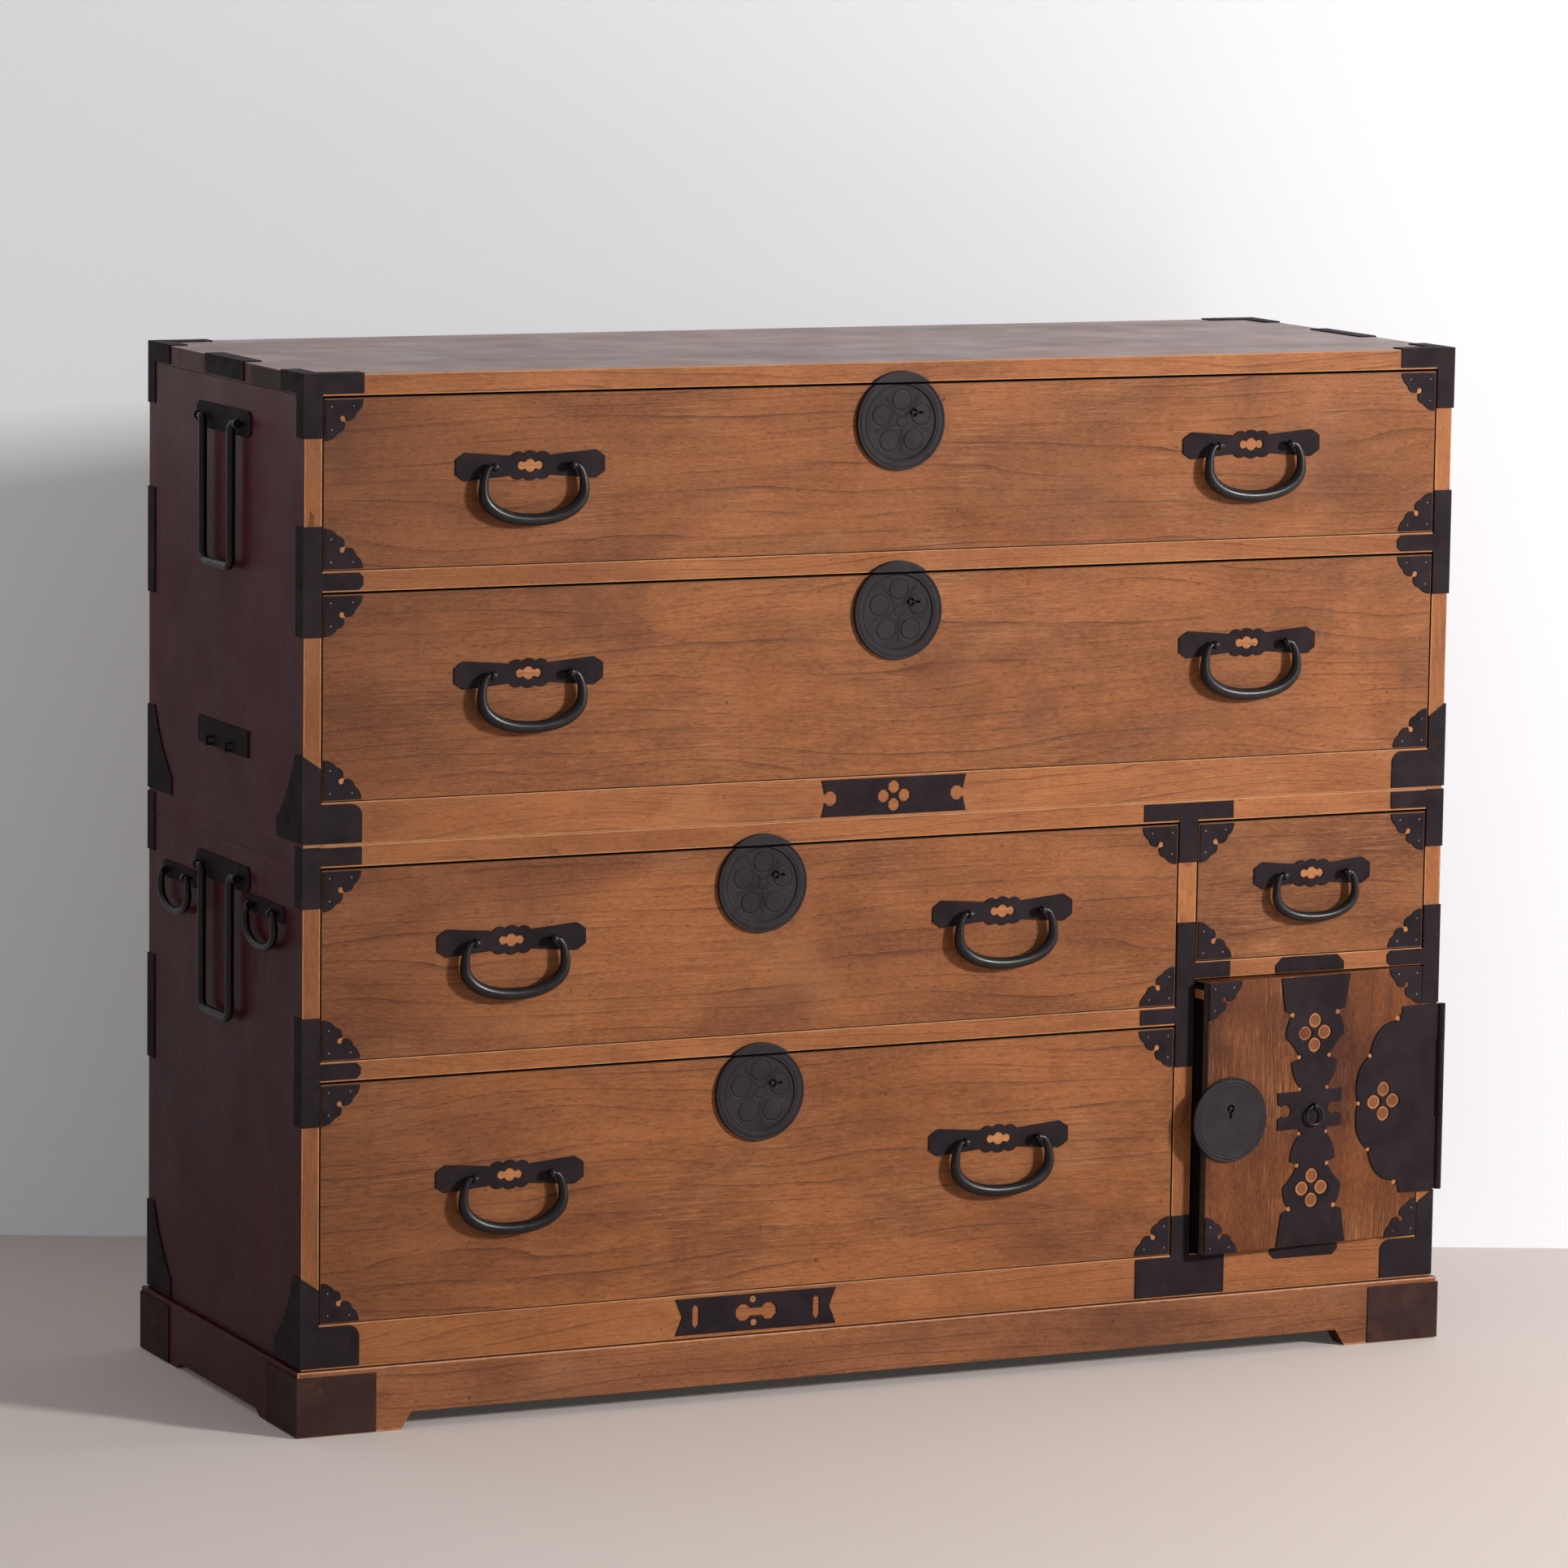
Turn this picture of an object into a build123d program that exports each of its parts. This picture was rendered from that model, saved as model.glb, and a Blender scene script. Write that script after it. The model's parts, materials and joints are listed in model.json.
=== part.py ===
from build123d import *
import math
import os

# Isho clothing chest: two stacked wooden cases on a plinth, with drawers, a small door and iron fittings.
#
# Frame: X to the right seen from the front, the front faces -Y, Z up, millimetres. The parts are drawn with
# Y = 0 on the front face of the cases and Z = 0 on the floor, and are exported with Y = 0 at mid-depth of
# the whole chest, so the origin is under the middle of its outer box.

# ---------------------------------------------------------------- cases (wood)
CASE_W = 1180.0
CASE_D = 405.0
SIDE_T = 17.3
BACK_T = 8.0
DUST_BOARD_T = 9.0
RAIL_DEPTH = 20.0
DIVIDER_T = 19.8
RIGHT_BAY_W = 250.2

LOWER_BOTTOM_RAIL_H = 41.8
DRAWER_4_OPENING_H = 223.6
LOWER_LEFT_RAIL_H = 18.7
DRAWER_3_OPENING_H = 177.4
LOWER_TOP_T = 20.4
DOOR_OPENING_H = 267.2
LOWER_RIGHT_RAIL_H = 17.0

UPPER_BOTTOM_RAIL_H = 39.4
DRAWER_2_OPENING_H = 190.0
UPPER_RAIL_H = 19.4
DRAWER_1_OPENING_H = 157.2
UPPER_TOP_T = 19.3

# ---------------------------------------------------------------- plinth
BASE_H = 61.0
BASE_LIP = 5.0
BASE_BOARD_T = 22.0
BASE_FRONT_ARCH_H = 16.0
BASE_SIDE_ARCH_H = 6.0
BASE_ARCH_END = 97.0
BASE_ARCH_SLOPE = 10.0
BASE_SIDE_ARCH_END = 92.0
BASE_IRON_W = 77.0
BASE_IRON_SIDE_W = 72.0
BASE_IRON_BOTTOM_GAP = 1.0
BASE_IRON_TOP_GAP = 5.0

# ---------------------------------------------------------------- drawers
DRAWER_FRONT_T = 18.0
DRAWER_SIDE_T = 10.0
DRAWER_BACK_T = 9.0
DRAWER_BOTTOM_T = 6.0
DRAWER_SIDE_GAP = 1.0
DRAWER_TOP_GAP = 1.8
DRAWER_RUN_GAP = 0.3
DRAWER_REAR_GAP = 9.0
DRAWER_SIDE_DROP = 12.0
FRONT_LAP = 8.0

# ---------------------------------------------------------------- iron plates
IRON_T = 1.2
ARM_LEN = 57.0
ARM_W = 17.3
RAIL_ARM_LEN = 57.0
TEE_LEG = 50.0
CORNER_SPAN = 36.5
CORNER_CUSP = 19.6
CORNER_BULGE = 3.6
CORNER_HOLE_R = 3.0
CORNER_HOLE_AT = 16.8
CORNER_INSET = 1.5
LOBE_CUTS = 3
PLATE_T = 1.6
PLATE_GAP = 1.0
IRON_INSET = 2.0
ARM_CUT = 4.0
BLOCK_ROUND = 11.0
LEG_SLOPE = 12.0
CORNER_LEG_H = 82.0
SIDE_CORNER_W = 64.0
SIDE_CORNER_LIP = 17.3
SIDE_CORNER_HOLLOW = 3.6
EDGE_STRIP_L = 100.0
DIVIDER_ARM = 48.0
DIVIDER_TOP_LEG = 39.0
DIVIDER_RIGHT_UP = 47.0
DIVIDER_BOTTOM_LEG = 38.0
TIE_LEN = 149.0
TIE_H = 34.5
TIE_TAIL = 4.0
TIE_NOTCH_R = 6.8
TIE_NOTCH_IN = 9.0
TIE_PETAL_UP = 8.4
LOW_TIE_LEN = 165.0
LOW_TIE_TAIL = 7.0
LOW_TIE_SLOT_AT = 62.0
LOW_TIE_SLOT_H = 23.0
LOW_TIE_SLOT_W = 6.4
DUMBBELL_AT = 13.0
DUMBBELL_R = 7.8
DUMBBELL_W = 8.0
DOOR_RAIL_PLATE_L = 75.0
DOOR_RAIL_PLATE_H = 12.0
DOOR_RAIL_PLATE_CUT = 0.5

# drawer handle plate and its bail
PLATE_LEN = 147.0
SMALL_PLATE_LEN = 127.0
PLATE_END_H = 26.0
PLATE_WAIST_H = 14.6
PLATE_CHAMFER_X = 9.0
PLATE_CHAMFER_Z = 6.0
ROSETTE_R = 11.0
ROSETTE_SIDE_R = 7.6
ROSETTE_SIDE_AT = (11.5, 5.0)
ROSETTE_TOP_R = 8.0
ROSETTE_TOP_AT = 5.5
PIERCE_R = 5.8
PIERCE_SIDE_R = 4.2
PIERCE_SIDE_AT = 8.0

PIN_R = 2.6
PIN_CLEARANCE = 0.08
EYE_WALL = 1.7
EYE_W = 5.0
EYE_STANDOFF = 9.5
SHANK_T = 3.4
SHANK_CLEARANCE = 0.1
CLINCH_LEN = 9.0
CLINCH_T = 1.6
BAIL_PIN_SPAN = 77.0
BAIL_W = 98.5
BAIL_DROP = 47.0
BAIL_BAR_R = 5.0
BAIL_SHOULDER = 0.92
BAIL_KNEE = 0.12
BAIL_KNEE_R = 0.2
BAIL_BOW = 0.045
BAIL_BOW_R = 0.75
BAIL_SWELL = 0.35
BAR_SIDES = 6
ARC_STEPS = 2
PIERCE_SIDES = 8
EYE_HOLE_SIDES = 6
PIN_OVER = 1.0
SMALL_BAIL_PIN_SPAN = 69.0
SMALL_BAIL_W = 86.0
SMALL_BAIL_DROP = 41.0
SMALL_BAIL_BAR_R = 4.4
HANDLE_IN_UPPER = 200.7
HANDLE_IN_LOWER = 186.2
DRAWER_1_HANDLE_DOWN = 65.2
DRAWER_2_HANDLE_DOWN = 78.0
DRAWER_3_HANDLE_DOWN = 73.2
DRAWER_4_HANDLE_DOWN = 95.0
SMALL_DRAWER_HANDLE_DOWN = 54.0

# round lock plates
LOCK_R = 44.8
LOCK_SIDES = 24
LOCK_T = 3.0
LOCK_RIM_W = 10.0
LOCK_RIM_H = 1.6
LOCK_RELIEF_H = 1.0
LOCK_DOWN = 35.0
LOCK_CATCH_RISE = 2.7
LOCK_SPLIT_GAP = 0.4
PETAL_R = 9.6
PETAL_RING_R = 21.0
PETAL_COUNT = 5
PETAL_SIDES = 8
BLOOM_CENTRE_R = 5.0
KEYHOLE_AT = (12.8, 8.6)
KEYHOLE_R = 4.0
KEY_PIN_R = 1.7
KEY_SLOT_L = 9.0
KEY_SLOT_W = 2.4

# ---------------------------------------------------------------- side hardware
CARRY_PLATE_L = 140.0
CARRY_PLATE_H = 24.0
UPPER_CARRY_Z_DOWN = 56.0
LOWER_CARRY_Z_DOWN = 50.0
CARRY_PIN_SPAN = 104.0
CARRY_LEG_SPAN = 74.0
CARRY_DROP = 133.0
CARRY_BAR_R = 5.0
CARRY_STANDOFF = 7.8
CARRY_TOP_BEND_R = 8.0
CARRY_BOTTOM_BEND_R = 12.0
STAPLE_PLATE_L = 130.0
STAPLE_PLATE_H = 25.0
STAPLE_PLATE_UP = 75.5
STAPLE_SPAN = 50.0
STAPLE_W = 4.0
STAPLE_H = 9.0
STAPLE_OUT = 9.0
STAPLE_WALL = 2.2
STAPLE_DOWN = 6.5
CARRY_PLATE_CUT = 5.0
SIDE_BAIL_PLATE_CUT = 4.0
SIDE_BAIL_PLATE_L = 92.0
SIDE_BAIL_PLATE_H = 16.0
SIDE_BAIL_DOWN = 69.0
SIDE_BAIL_IN = 89.5
SIDE_BAIL_PIN_SPAN = 56.0
SIDE_BAIL_W = 74.0
SIDE_BAIL_DROP = 34.0
SIDE_BAIL_BAR_R = 3.6
SIDE_BAIL_STANDOFF = 7.0

# ---------------------------------------------------------------- door
DOOR_T = 20.0
DOOR_PROUD = 0.4
DOOR_GAP = 2.0
DOOR_HINGE_GAP = 1.6
DOOR_RUN_GAP = 1.2
DOOR_AJAR = 4.0
DOOR_CHAMFER = 4.0
DOOR_BATTEN_H = 17.0
DOOR_PEG = 8.0
DOOR_PEG_DOWN = 12.0
HINGE_OUT = 4.5
HINGE_FORWARD = 2.2
HINGE_BARREL_R = 3.6
HINGE_PIN_R = 2.0
HINGE_PIN_CLEARANCE = 0.06
HINGE_KNUCKLE_GAP = 0.3
HINGE_TOP_DOWN = 39.0
HINGE_H = 183.0
HINGE_MID_H = 77.4
HINGE_MID_DOWN = 35.0
HINGE_LEAF_T = 1.6
HINGE_CASE_LEAF_D = 28.0
STRAP_END_W = 76.0
STRAP_END_H = 32.0
STRAP_END_TAPER = 6.0
ROSE_TOP = (25.0, 94.0)
ROSE_SIDE = (31.0, 73.0)
ROSE_FOOT = (17.0, 51.5)
BUD_SIDE = (24.5, 40.0)
BUD_FOOT = (14.5, 22.0)
STRAP_PETALS_AT = 76.5
CROSS_W = 68.0
CROSS_H = 37.0
CROSS_SHIFT = -4.5
CROSS_MOUTH = 7.0
CROSS_BITE_IN = 8.0
CROSS_BITE_R = 5.6
CUSP_HOLE_R = 2.5
FOUR_PETAL_R = 5.9
FOUR_PETAL_AT = 10.7
FOUR_PETAL_UP = 12.4
DOOR_LOCK_R = 41.0
DOOR_LOCK_IN = 29.0
DOOR_LOCK_T = 3.2
DOOR_LOCK_LOW = 2.0
DOOR_KEY_OFF = (0.0, 11.0)
LEAF_EDGE_GAP = 1.0
LEAF_PETAL_IN = 60.0
LEAF_SHOULDER = 28.0
LEAF_NOTCH_ANGLES = (24.0, 58.0, 90.0, 122.0, 156.0)
LEAF_NOTCH_R = 87.0
LEAF_LOBE = 4.0
CASE_LEAF_SETBACK = 2.0
RING_R = 9.0
RING_W = 2.8
RING_T = 2.4
RING_CLEARANCE = 0.36
RING_SIDES = 16
RING_STANDOFF = 5.4
RING_EYE_UP = 4.5
RING_EYE_W = 3.0
EPS = 0.01

# ---------------------------------------------------------------- derived places
HALF_W = CASE_W / 2
INNER_X = HALF_W - SIDE_T
LOWER_Z = BASE_H
LOWER_H = LOWER_BOTTOM_RAIL_H + DRAWER_4_OPENING_H + LOWER_LEFT_RAIL_H + DRAWER_3_OPENING_H + LOWER_TOP_T
UPPER_Z = LOWER_Z + LOWER_H
UPPER_H = UPPER_BOTTOM_RAIL_H + DRAWER_2_OPENING_H + UPPER_RAIL_H + DRAWER_1_OPENING_H + UPPER_TOP_T
TOP_Z = UPPER_Z + UPPER_H
DIVIDER_X1 = INNER_X - RIGHT_BAY_W
DIVIDER_X0 = DIVIDER_X1 - DIVIDER_T
FLOOR_4_Z = LOWER_Z + LOWER_BOTTOM_RAIL_H
CEIL_4_Z = FLOOR_4_Z + DRAWER_4_OPENING_H
FLOOR_3_Z = CEIL_4_Z + LOWER_LEFT_RAIL_H
CEIL_3_Z = FLOOR_3_Z + DRAWER_3_OPENING_H
DOOR_CEIL_Z = FLOOR_4_Z + DOOR_OPENING_H
FLOOR_S_Z = DOOR_CEIL_Z + LOWER_RIGHT_RAIL_H
FLOOR_2_Z = UPPER_Z + UPPER_BOTTOM_RAIL_H
CEIL_2_Z = FLOOR_2_Z + DRAWER_2_OPENING_H
FLOOR_1_Z = CEIL_2_Z + UPPER_RAIL_H
CEIL_1_Z = FLOOR_1_Z + DRAWER_1_OPENING_H
BACK_Y = CASE_D - BACK_T
HINGE_X = HALF_W + HINGE_OUT
HINGE_AXIS = Axis((HINGE_X, -HINGE_FORWARD, 0), (0, 0, 1))
HINGE_TOP_Z = DOOR_CEIL_Z - HINGE_TOP_DOWN
DOOR_X0 = DIVIDER_X1 + DOOR_GAP
DOOR_X1 = INNER_X - DOOR_HINGE_GAP
DOOR_Z0 = FLOOR_4_Z + DOOR_RUN_GAP
DOOR_Z1 = DOOR_CEIL_Z - DOOR_RUN_GAP
DOOR_MID_X = (DOOR_X0 + DOOR_X1) / 2
DOOR_MID_Z = (DOOR_Z0 + DOOR_Z1) / 2
LOCK_EDGE_X = DOOR_X0 + DOOR_LOCK_IN - DOOR_LOCK_R
AJAR = math.radians(DOOR_AJAR)
FRONT_REACH = (
    HINGE_FORWARD
    + (HINGE_X - LOCK_EDGE_X) * math.sin(AJAR)
    + (DOOR_PROUD + DOOR_LOCK_T - HINGE_FORWARD) * math.cos(AJAR)
)
CENTRE_Y = (CASE_D + BASE_LIP + IRON_T - FRONT_REACH) / 2

LEFT_BAY_MID = (-INNER_X + DIVIDER_X0) / 2

FRONT_BAIL = {"pin_span": BAIL_PIN_SPAN, "width": BAIL_W, "drop": BAIL_DROP, "bar_r": BAIL_BAR_R}
SMALL_BAIL = {
    "pin_span": SMALL_BAIL_PIN_SPAN,
    "width": SMALL_BAIL_W,
    "drop": SMALL_BAIL_DROP,
    "bar_r": SMALL_BAIL_BAR_R,
}
SIDE_BAIL = {
    "pin_span": SIDE_BAIL_PIN_SPAN,
    "width": SIDE_BAIL_W,
    "drop": SIDE_BAIL_DROP,
    "bar_r": SIDE_BAIL_BAR_R,
}

FRONT = Plane.XZ
RIGHT = Plane(origin=(HALF_W, 0, 0), x_dir=(0, 1, 0), z_dir=(1, 0, 0))
PARTS = {}


def add(node, *solids):
    """Keep solids under their node's name; every call adds to what the node has."""
    for item in solids:
        PARTS.setdefault(node, []).extend(item if isinstance(item, list) else [item])


def block(x0, x1, y0, y1, z0, z1):
    """A square board between two corners."""
    return Pos((x0 + x1) / 2, (y0 + y1) / 2, (z0 + z1) / 2) * Box(x1 - x0, y1 - y0, z1 - z0)


def rect(x0, x1, z0, z1):
    """A rectangle between two corners, drawn in a plate's own plane."""
    return Pos((x0 + x1) / 2, (z0 + z1) / 2) * Rectangle(x1 - x0, z1 - z0)


def outline(*points):
    """A closed straight-sided outline."""
    return make_face(Polyline(*points, close=True))


def front_plate(face, thickness=IRON_T, back=0.0):
    """A plate on the front, its back `back` in front of the case's front face."""
    return Pos(0, -back, 0) * extrude(FRONT * face, amount=thickness)


def side_plate(face, thickness=IRON_T):
    """A plate on the right-hand side, drawn in (Y, Z)."""
    return extrude(RIGHT * face, amount=thickness)


def both_sides(*solids):
    """The solids and their mirror images on the left-hand side."""
    return [*solids, *[mirror(item, about=Plane.YZ) for item in solids]]


def flip_x(item):
    """A mirror image across the vertical axis."""
    return mirror(item, about=Plane.YZ)


# ================================================================ wood
def cases():
    """Boards of the two cases, all butted face to face."""
    for name, z0, height, top_t in (
        ("lower", LOWER_Z, LOWER_H, LOWER_TOP_T),
        ("upper", UPPER_Z, UPPER_H, UPPER_TOP_T),
    ):
        z1 = z0 + height - top_t
        add(f"{name}_side_boards", both_sides(block(INNER_X, HALF_W, 0, CASE_D, z0, z1)))
        add(f"{name}_top_board", block(-HALF_W, HALF_W, 0, CASE_D, z1, z1 + top_t))
        add(f"{name}_back_board", block(-INNER_X, INNER_X, BACK_Y, CASE_D, z0, z1))
    add("lower_divider", block(DIVIDER_X0, DIVIDER_X1, 0, BACK_Y, FLOOR_4_Z, CEIL_3_Z))
    shelf("lower_shelves", -INNER_X, INNER_X, LOWER_Z, FLOOR_4_Z)
    shelf("lower_shelves", -INNER_X, DIVIDER_X0, CEIL_4_Z, FLOOR_3_Z)
    shelf("lower_shelves", DIVIDER_X1, INNER_X, DOOR_CEIL_Z, FLOOR_S_Z)
    shelf("upper_shelves", -INNER_X, INNER_X, UPPER_Z, FLOOR_2_Z)
    shelf("upper_shelves", -INNER_X, INNER_X, CEIL_2_Z, FLOOR_1_Z)


def shelf(node, x0, x1, z0, z1):
    """A front rail with its dust board behind it, flush on top."""
    add(node, block(x0, x1, 0, RAIL_DEPTH, z0, z1))
    add(node, block(x0, x1, RAIL_DEPTH, BACK_Y, z1 - DUST_BOARD_T, z1))


def arched_board(length, height, arch_end, arch_h):
    """A plinth board's face: a rectangle with a shallow bracket cut out of its lower edge."""
    half = length / 2 - arch_end
    flat = half - BASE_ARCH_SLOPE
    arch = outline((-half, -EPS), (-flat, arch_h), (flat, arch_h), (half, -EPS))
    return rect(-length / 2, length / 2, 0, height) - arch


def plinth():
    """Four boards under the lower case, standing proud of it all round, with irons on the corners."""
    x1 = HALF_W + BASE_LIP
    y1 = CASE_D + BASE_LIP
    front_face = arched_board(2 * x1, BASE_H, BASE_ARCH_END + BASE_LIP, BASE_FRONT_ARCH_H)
    front = extrude(FRONT * front_face, BASE_BOARD_T)
    add("base_frame", Pos(0, BASE_BOARD_T - BASE_LIP, 0) * front, Pos(0, y1, 0) * front)
    inner = y1 + BASE_LIP - 2 * BASE_BOARD_T
    side_face = arched_board(inner, BASE_H, BASE_SIDE_ARCH_END + BASE_LIP - BASE_BOARD_T, BASE_SIDE_ARCH_H)
    side = extrude(Plane.YZ * side_face, BASE_BOARD_T)
    add("base_frame", both_sides(Pos(x1 - BASE_BOARD_T, CASE_D / 2, 0) * side))
    z0 = BASE_IRON_BOTTOM_GAP
    z1 = BASE_H - BASE_IRON_TOP_GAP
    wrap = block(x1 - BASE_IRON_W, x1 + IRON_T, -BASE_LIP - IRON_T, BASE_IRON_SIDE_W, z0, z1)
    wrap -= block(0, x1, -BASE_LIP, CASE_D, 0, BASE_H)
    rear = Pos(0, CASE_D, 0) * mirror(wrap, about=Plane.XZ)
    add("base_corner_irons", both_sides(wrap, rear))


def drawer_front(x0, x1, z0, z1):
    """A drawer front that fills its opening less the running gaps; returns the board's limits."""
    return (x0 + DRAWER_SIDE_GAP, x1 - DRAWER_SIDE_GAP, z0 + DRAWER_RUN_GAP, z1 - DRAWER_TOP_GAP)


def drawer(name, opening, offsets, handle_down, plate_len, bail):
    """A drawer: front, box, irons, handle plates, eyes and bails, and on the large ones a lock plate."""
    x0, x1, z0, z1 = drawer_front(*opening)
    y_end = BACK_Y - DRAWER_REAR_GAP
    mid = (x0 + x1) / 2
    front = block(x0, x1, 0, DRAWER_FRONT_T, z0, z1)
    side_z1 = z1 - DRAWER_SIDE_DROP
    inner = (x0 + DRAWER_SIDE_T, x1 - DRAWER_SIDE_T)
    lap_y = DRAWER_FRONT_T - FRONT_LAP
    sides = [block(x0, inner[0], lap_y, y_end, z0, side_z1), block(inner[1], x1, lap_y, y_end, z0, side_z1)]
    front -= sides
    back = block(*inner, y_end - DRAWER_BACK_T, y_end, z0, side_z1)
    bottom = block(*inner, DRAWER_FRONT_T, y_end - DRAWER_BACK_T, z0, z0 + DRAWER_BOTTOM_T)
    handle_z = z1 - handle_down
    add(f"{name}_box", sides, back, bottom)
    add(f"{name}_irons", drawer_corner_plates(x0, x1, z0, z1))
    for label, offset in offsets.items():
        centre = (mid + offset, handle_z)
        plate = front_plate(Pos(*centre) * handle_plate(plate_len), PLATE_T)
        for side in (-1, 1):
            pin_x = centre[0] + side * bail["pin_span"] / 2
            slot = shank_slot(pin_x, handle_z)
            front -= slot
            plate -= slot
            add(f"{name}_irons", Pos(pin_x, 0, handle_z) * front_eye(DRAWER_FRONT_T, PLATE_T))
        add(f"{name}_irons", plate)
        bail_name = f"{name}_bail{label}"
        add(bail_name, Pos(centre[0], -EYE_STANDOFF, handle_z) * (FRONT * warabi_bail(**bail)))
    add(f"{name}_front", front)


def handle_pair(x0, x1, end_in):
    """Places of two handles about a drawer's middle, each `end_in` from its end of the front."""
    offset = (x1 - x0) / 2 - DRAWER_SIDE_GAP - end_in
    return {"_left": -offset, "_right": offset}


def shank_slot(x, z):
    """The hole for an eye's shank through a plate and the board behind it."""
    half_w = EYE_W / 2 + SHANK_CLEARANCE
    half_h = SHANK_T / 2 + SHANK_CLEARANCE
    return block(x - half_w, x + half_w, -PLATE_T - EPS, DRAWER_FRONT_T + EPS, z - half_h, z + half_h)


# ================================================================ small iron pieces
def corner_face():
    """A quarter plate with two lobes that meet at a pierced cusp; its square corner is at the origin."""
    low = lobe((CORNER_SPAN, 0), (CORNER_CUSP, CORNER_CUSP), CORNER_BULGE)
    high = [(z, x) for x, z in reversed(low[:-1])]
    hole = Pos(CORNER_HOLE_AT, CORNER_HOLE_AT) * ngon(CORNER_HOLE_R, EYE_HOLE_SIDES)
    return outline((0, 0), *low, *high) - hole


def lobe(start, end, bulge):
    """Points of a shallow bow from start to end, cut in a few short straight cuts, bulging to its right."""
    across, along = end[0] - start[0], end[1] - start[1]
    chord = math.hypot(across, along)
    points = []
    for step in range(LOBE_CUTS + 1):
        share = step / LOBE_CUTS
        rise = 4 * bulge * share * (1 - share) / chord
        points.append((start[0] + across * share + along * rise, start[1] + along * share - across * rise))
    return points


def corner_plates(x0, x1, z0, z1, corners=("sw", "se", "nw", "ne")):
    """Quarter plates in the named corners of a panel."""
    low = corner_face()
    faces = {
        "sw": Pos(x0, z0) * low,
        "se": Pos(x1, z0) * flip_x(low),
        "nw": Pos(x0, z1) * mirror(low, about=Plane.XZ),
        "ne": Pos(x1, z1) * mirror(flip_x(low), about=Plane.XZ),
    }
    return [faces[corner] for corner in corners]


def drawer_corner_plates(x0, x1, z0, z1):
    """The four quarter plates of a drawer front, set in a little from its edges."""
    inset = CORNER_INSET
    faces = corner_plates(x0 + inset, x1 - inset, z0 + inset, z1 - inset)
    return [front_plate(face) for face in faces]


def handle_plate(length):
    """A bow-tie plate with chamfered ends, a lobed rosette in the middle and a pierced opening."""
    half = length / 2
    end = PLATE_END_H / 2
    waist = PLATE_WAIST_H / 2
    wing = [
        (0, waist),
        (half - PLATE_CHAMFER_X, end),
        (half, end - PLATE_CHAMFER_Z),
        (half, -end + PLATE_CHAMFER_Z),
        (half - PLATE_CHAMFER_X, -end),
        (0, -waist),
    ]
    right = outline(*wing)
    plate = right + flip_x(right) + ngon(ROSETTE_R)
    for sx in (-1, 1):
        plate += Pos(0, sx * ROSETTE_TOP_AT) * ngon(ROSETTE_TOP_R)
        for sz in (-1, 1):
            plate += Pos(sx * ROSETTE_SIDE_AT[0], sz * ROSETTE_SIDE_AT[1]) * ngon(ROSETTE_SIDE_R)
    plate -= ngon(PIERCE_R)
    for sx in (-1, 1):
        plate -= Pos(sx * PIERCE_SIDE_AT, 0) * ngon(PIERCE_SIDE_R)
    return plate


def ngon(radius, sides=PIERCE_SIDES):
    """A small round shape cut by hand: a polygon about a circle, with a flat on each side."""
    return RegularPolygon(radius, sides, major_radius=False, rotation=180 / sides)


def eye_profile(standoff, hole_r, plate_t, board_t, clinched):
    """A split pin seen along its pin: a head with a hole, a shank and, on the front, two clinched legs."""
    outer = hole_r + EYE_WALL
    half = SHANK_T / 2
    face = rect(plate_t, standoff, -outer, outer) + Pos(standoff, 0) * ngon(outer)
    face += rect(-board_t, plate_t + EPS, -half, half)
    if clinched:
        face += rect(-board_t - CLINCH_T, -board_t, -CLINCH_LEN, CLINCH_LEN)
    return face - Pos(standoff, 0) * ngon(hole_r, EYE_HOLE_SIDES)


def front_eye(board_t, plate_t, standoff=EYE_STANDOFF, hole_r=PIN_R + PIN_CLEARANCE, width=EYE_W):
    """An eye on the front at the origin: its profile lies in a plane across the pin."""
    across = Plane(origin=(-width / 2, 0, 0), x_dir=(0, -1, 0), z_dir=(1, 0, 0))
    return extrude(across * eye_profile(standoff, hole_r, plate_t, board_t, True), amount=width)


def side_eye(board_t, plate_t, standoff):
    """An eye on the right-hand side at the origin of that side, its legs flush inside the board."""
    across = Plane(origin=(0, -EYE_W / 2, 0), x_dir=(1, 0, 0), z_dir=(0, -1, 0))
    face = eye_profile(standoff, PIN_R + PIN_CLEARANCE, plate_t, board_t, False)
    return Pos(0, EYE_W, 0) * extrude(across * face, amount=EYE_W)


def tapered_bar(path, bar_r, pin_len, grow_len):
    """A forged bar with flats along a plane path: thin pins at the ends swelling to bar_r."""
    length = path.length
    stops = [0.0, pin_len]
    run = 0.0
    for edge in path.edges():
        steps = ARC_STEPS if edge.geom_type == GeomType.CIRCLE else 1
        stops += [run + edge.length * index / steps for index in range(1, steps + 1)]
        run += edge.length
    stops = sorted(stops + [length - pin_len])
    kept = [stop for stop, after in zip(stops, stops[1:]) if after - stop > PIN_OVER / 2] + [length]
    turns = [2 * math.pi * side / BAR_SIDES for side in range(BAR_SIDES)]
    corners = [(math.cos(turn), math.sin(turn)) for turn in turns]
    sections = []
    for stop in kept:
        swell = min(max((min(stop, length - stop) - pin_len) / grow_len, 0.0), 1.0)
        radius = PIN_R + (bar_r - PIN_R) * math.sin(swell * math.pi / 2)
        plane = Plane(origin=path @ (stop / length), x_dir=(0, 0, 1), z_dir=path % (stop / length))
        sections.append([plane.from_local_coords((radius * x, radius * y)) for x, y in corners])
    return forged(sections)


def forged(sections):
    """A solid with flat facets through a row of polygons that all have as many corners."""
    faces = [make_face(Polyline(*section, close=True)) for section in (sections[0], sections[-1])]
    for near, far in zip(sections, sections[1:]):
        for side in range(len(near)):
            first, second = side - 1, side
            faces.append(make_face(Polyline(near[first], near[second], far[second], close=True)))
            faces.append(make_face(Polyline(near[first], far[second], far[first], close=True)))
    return Solid(Shell([face.faces()[0] for face in faces]))


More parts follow.
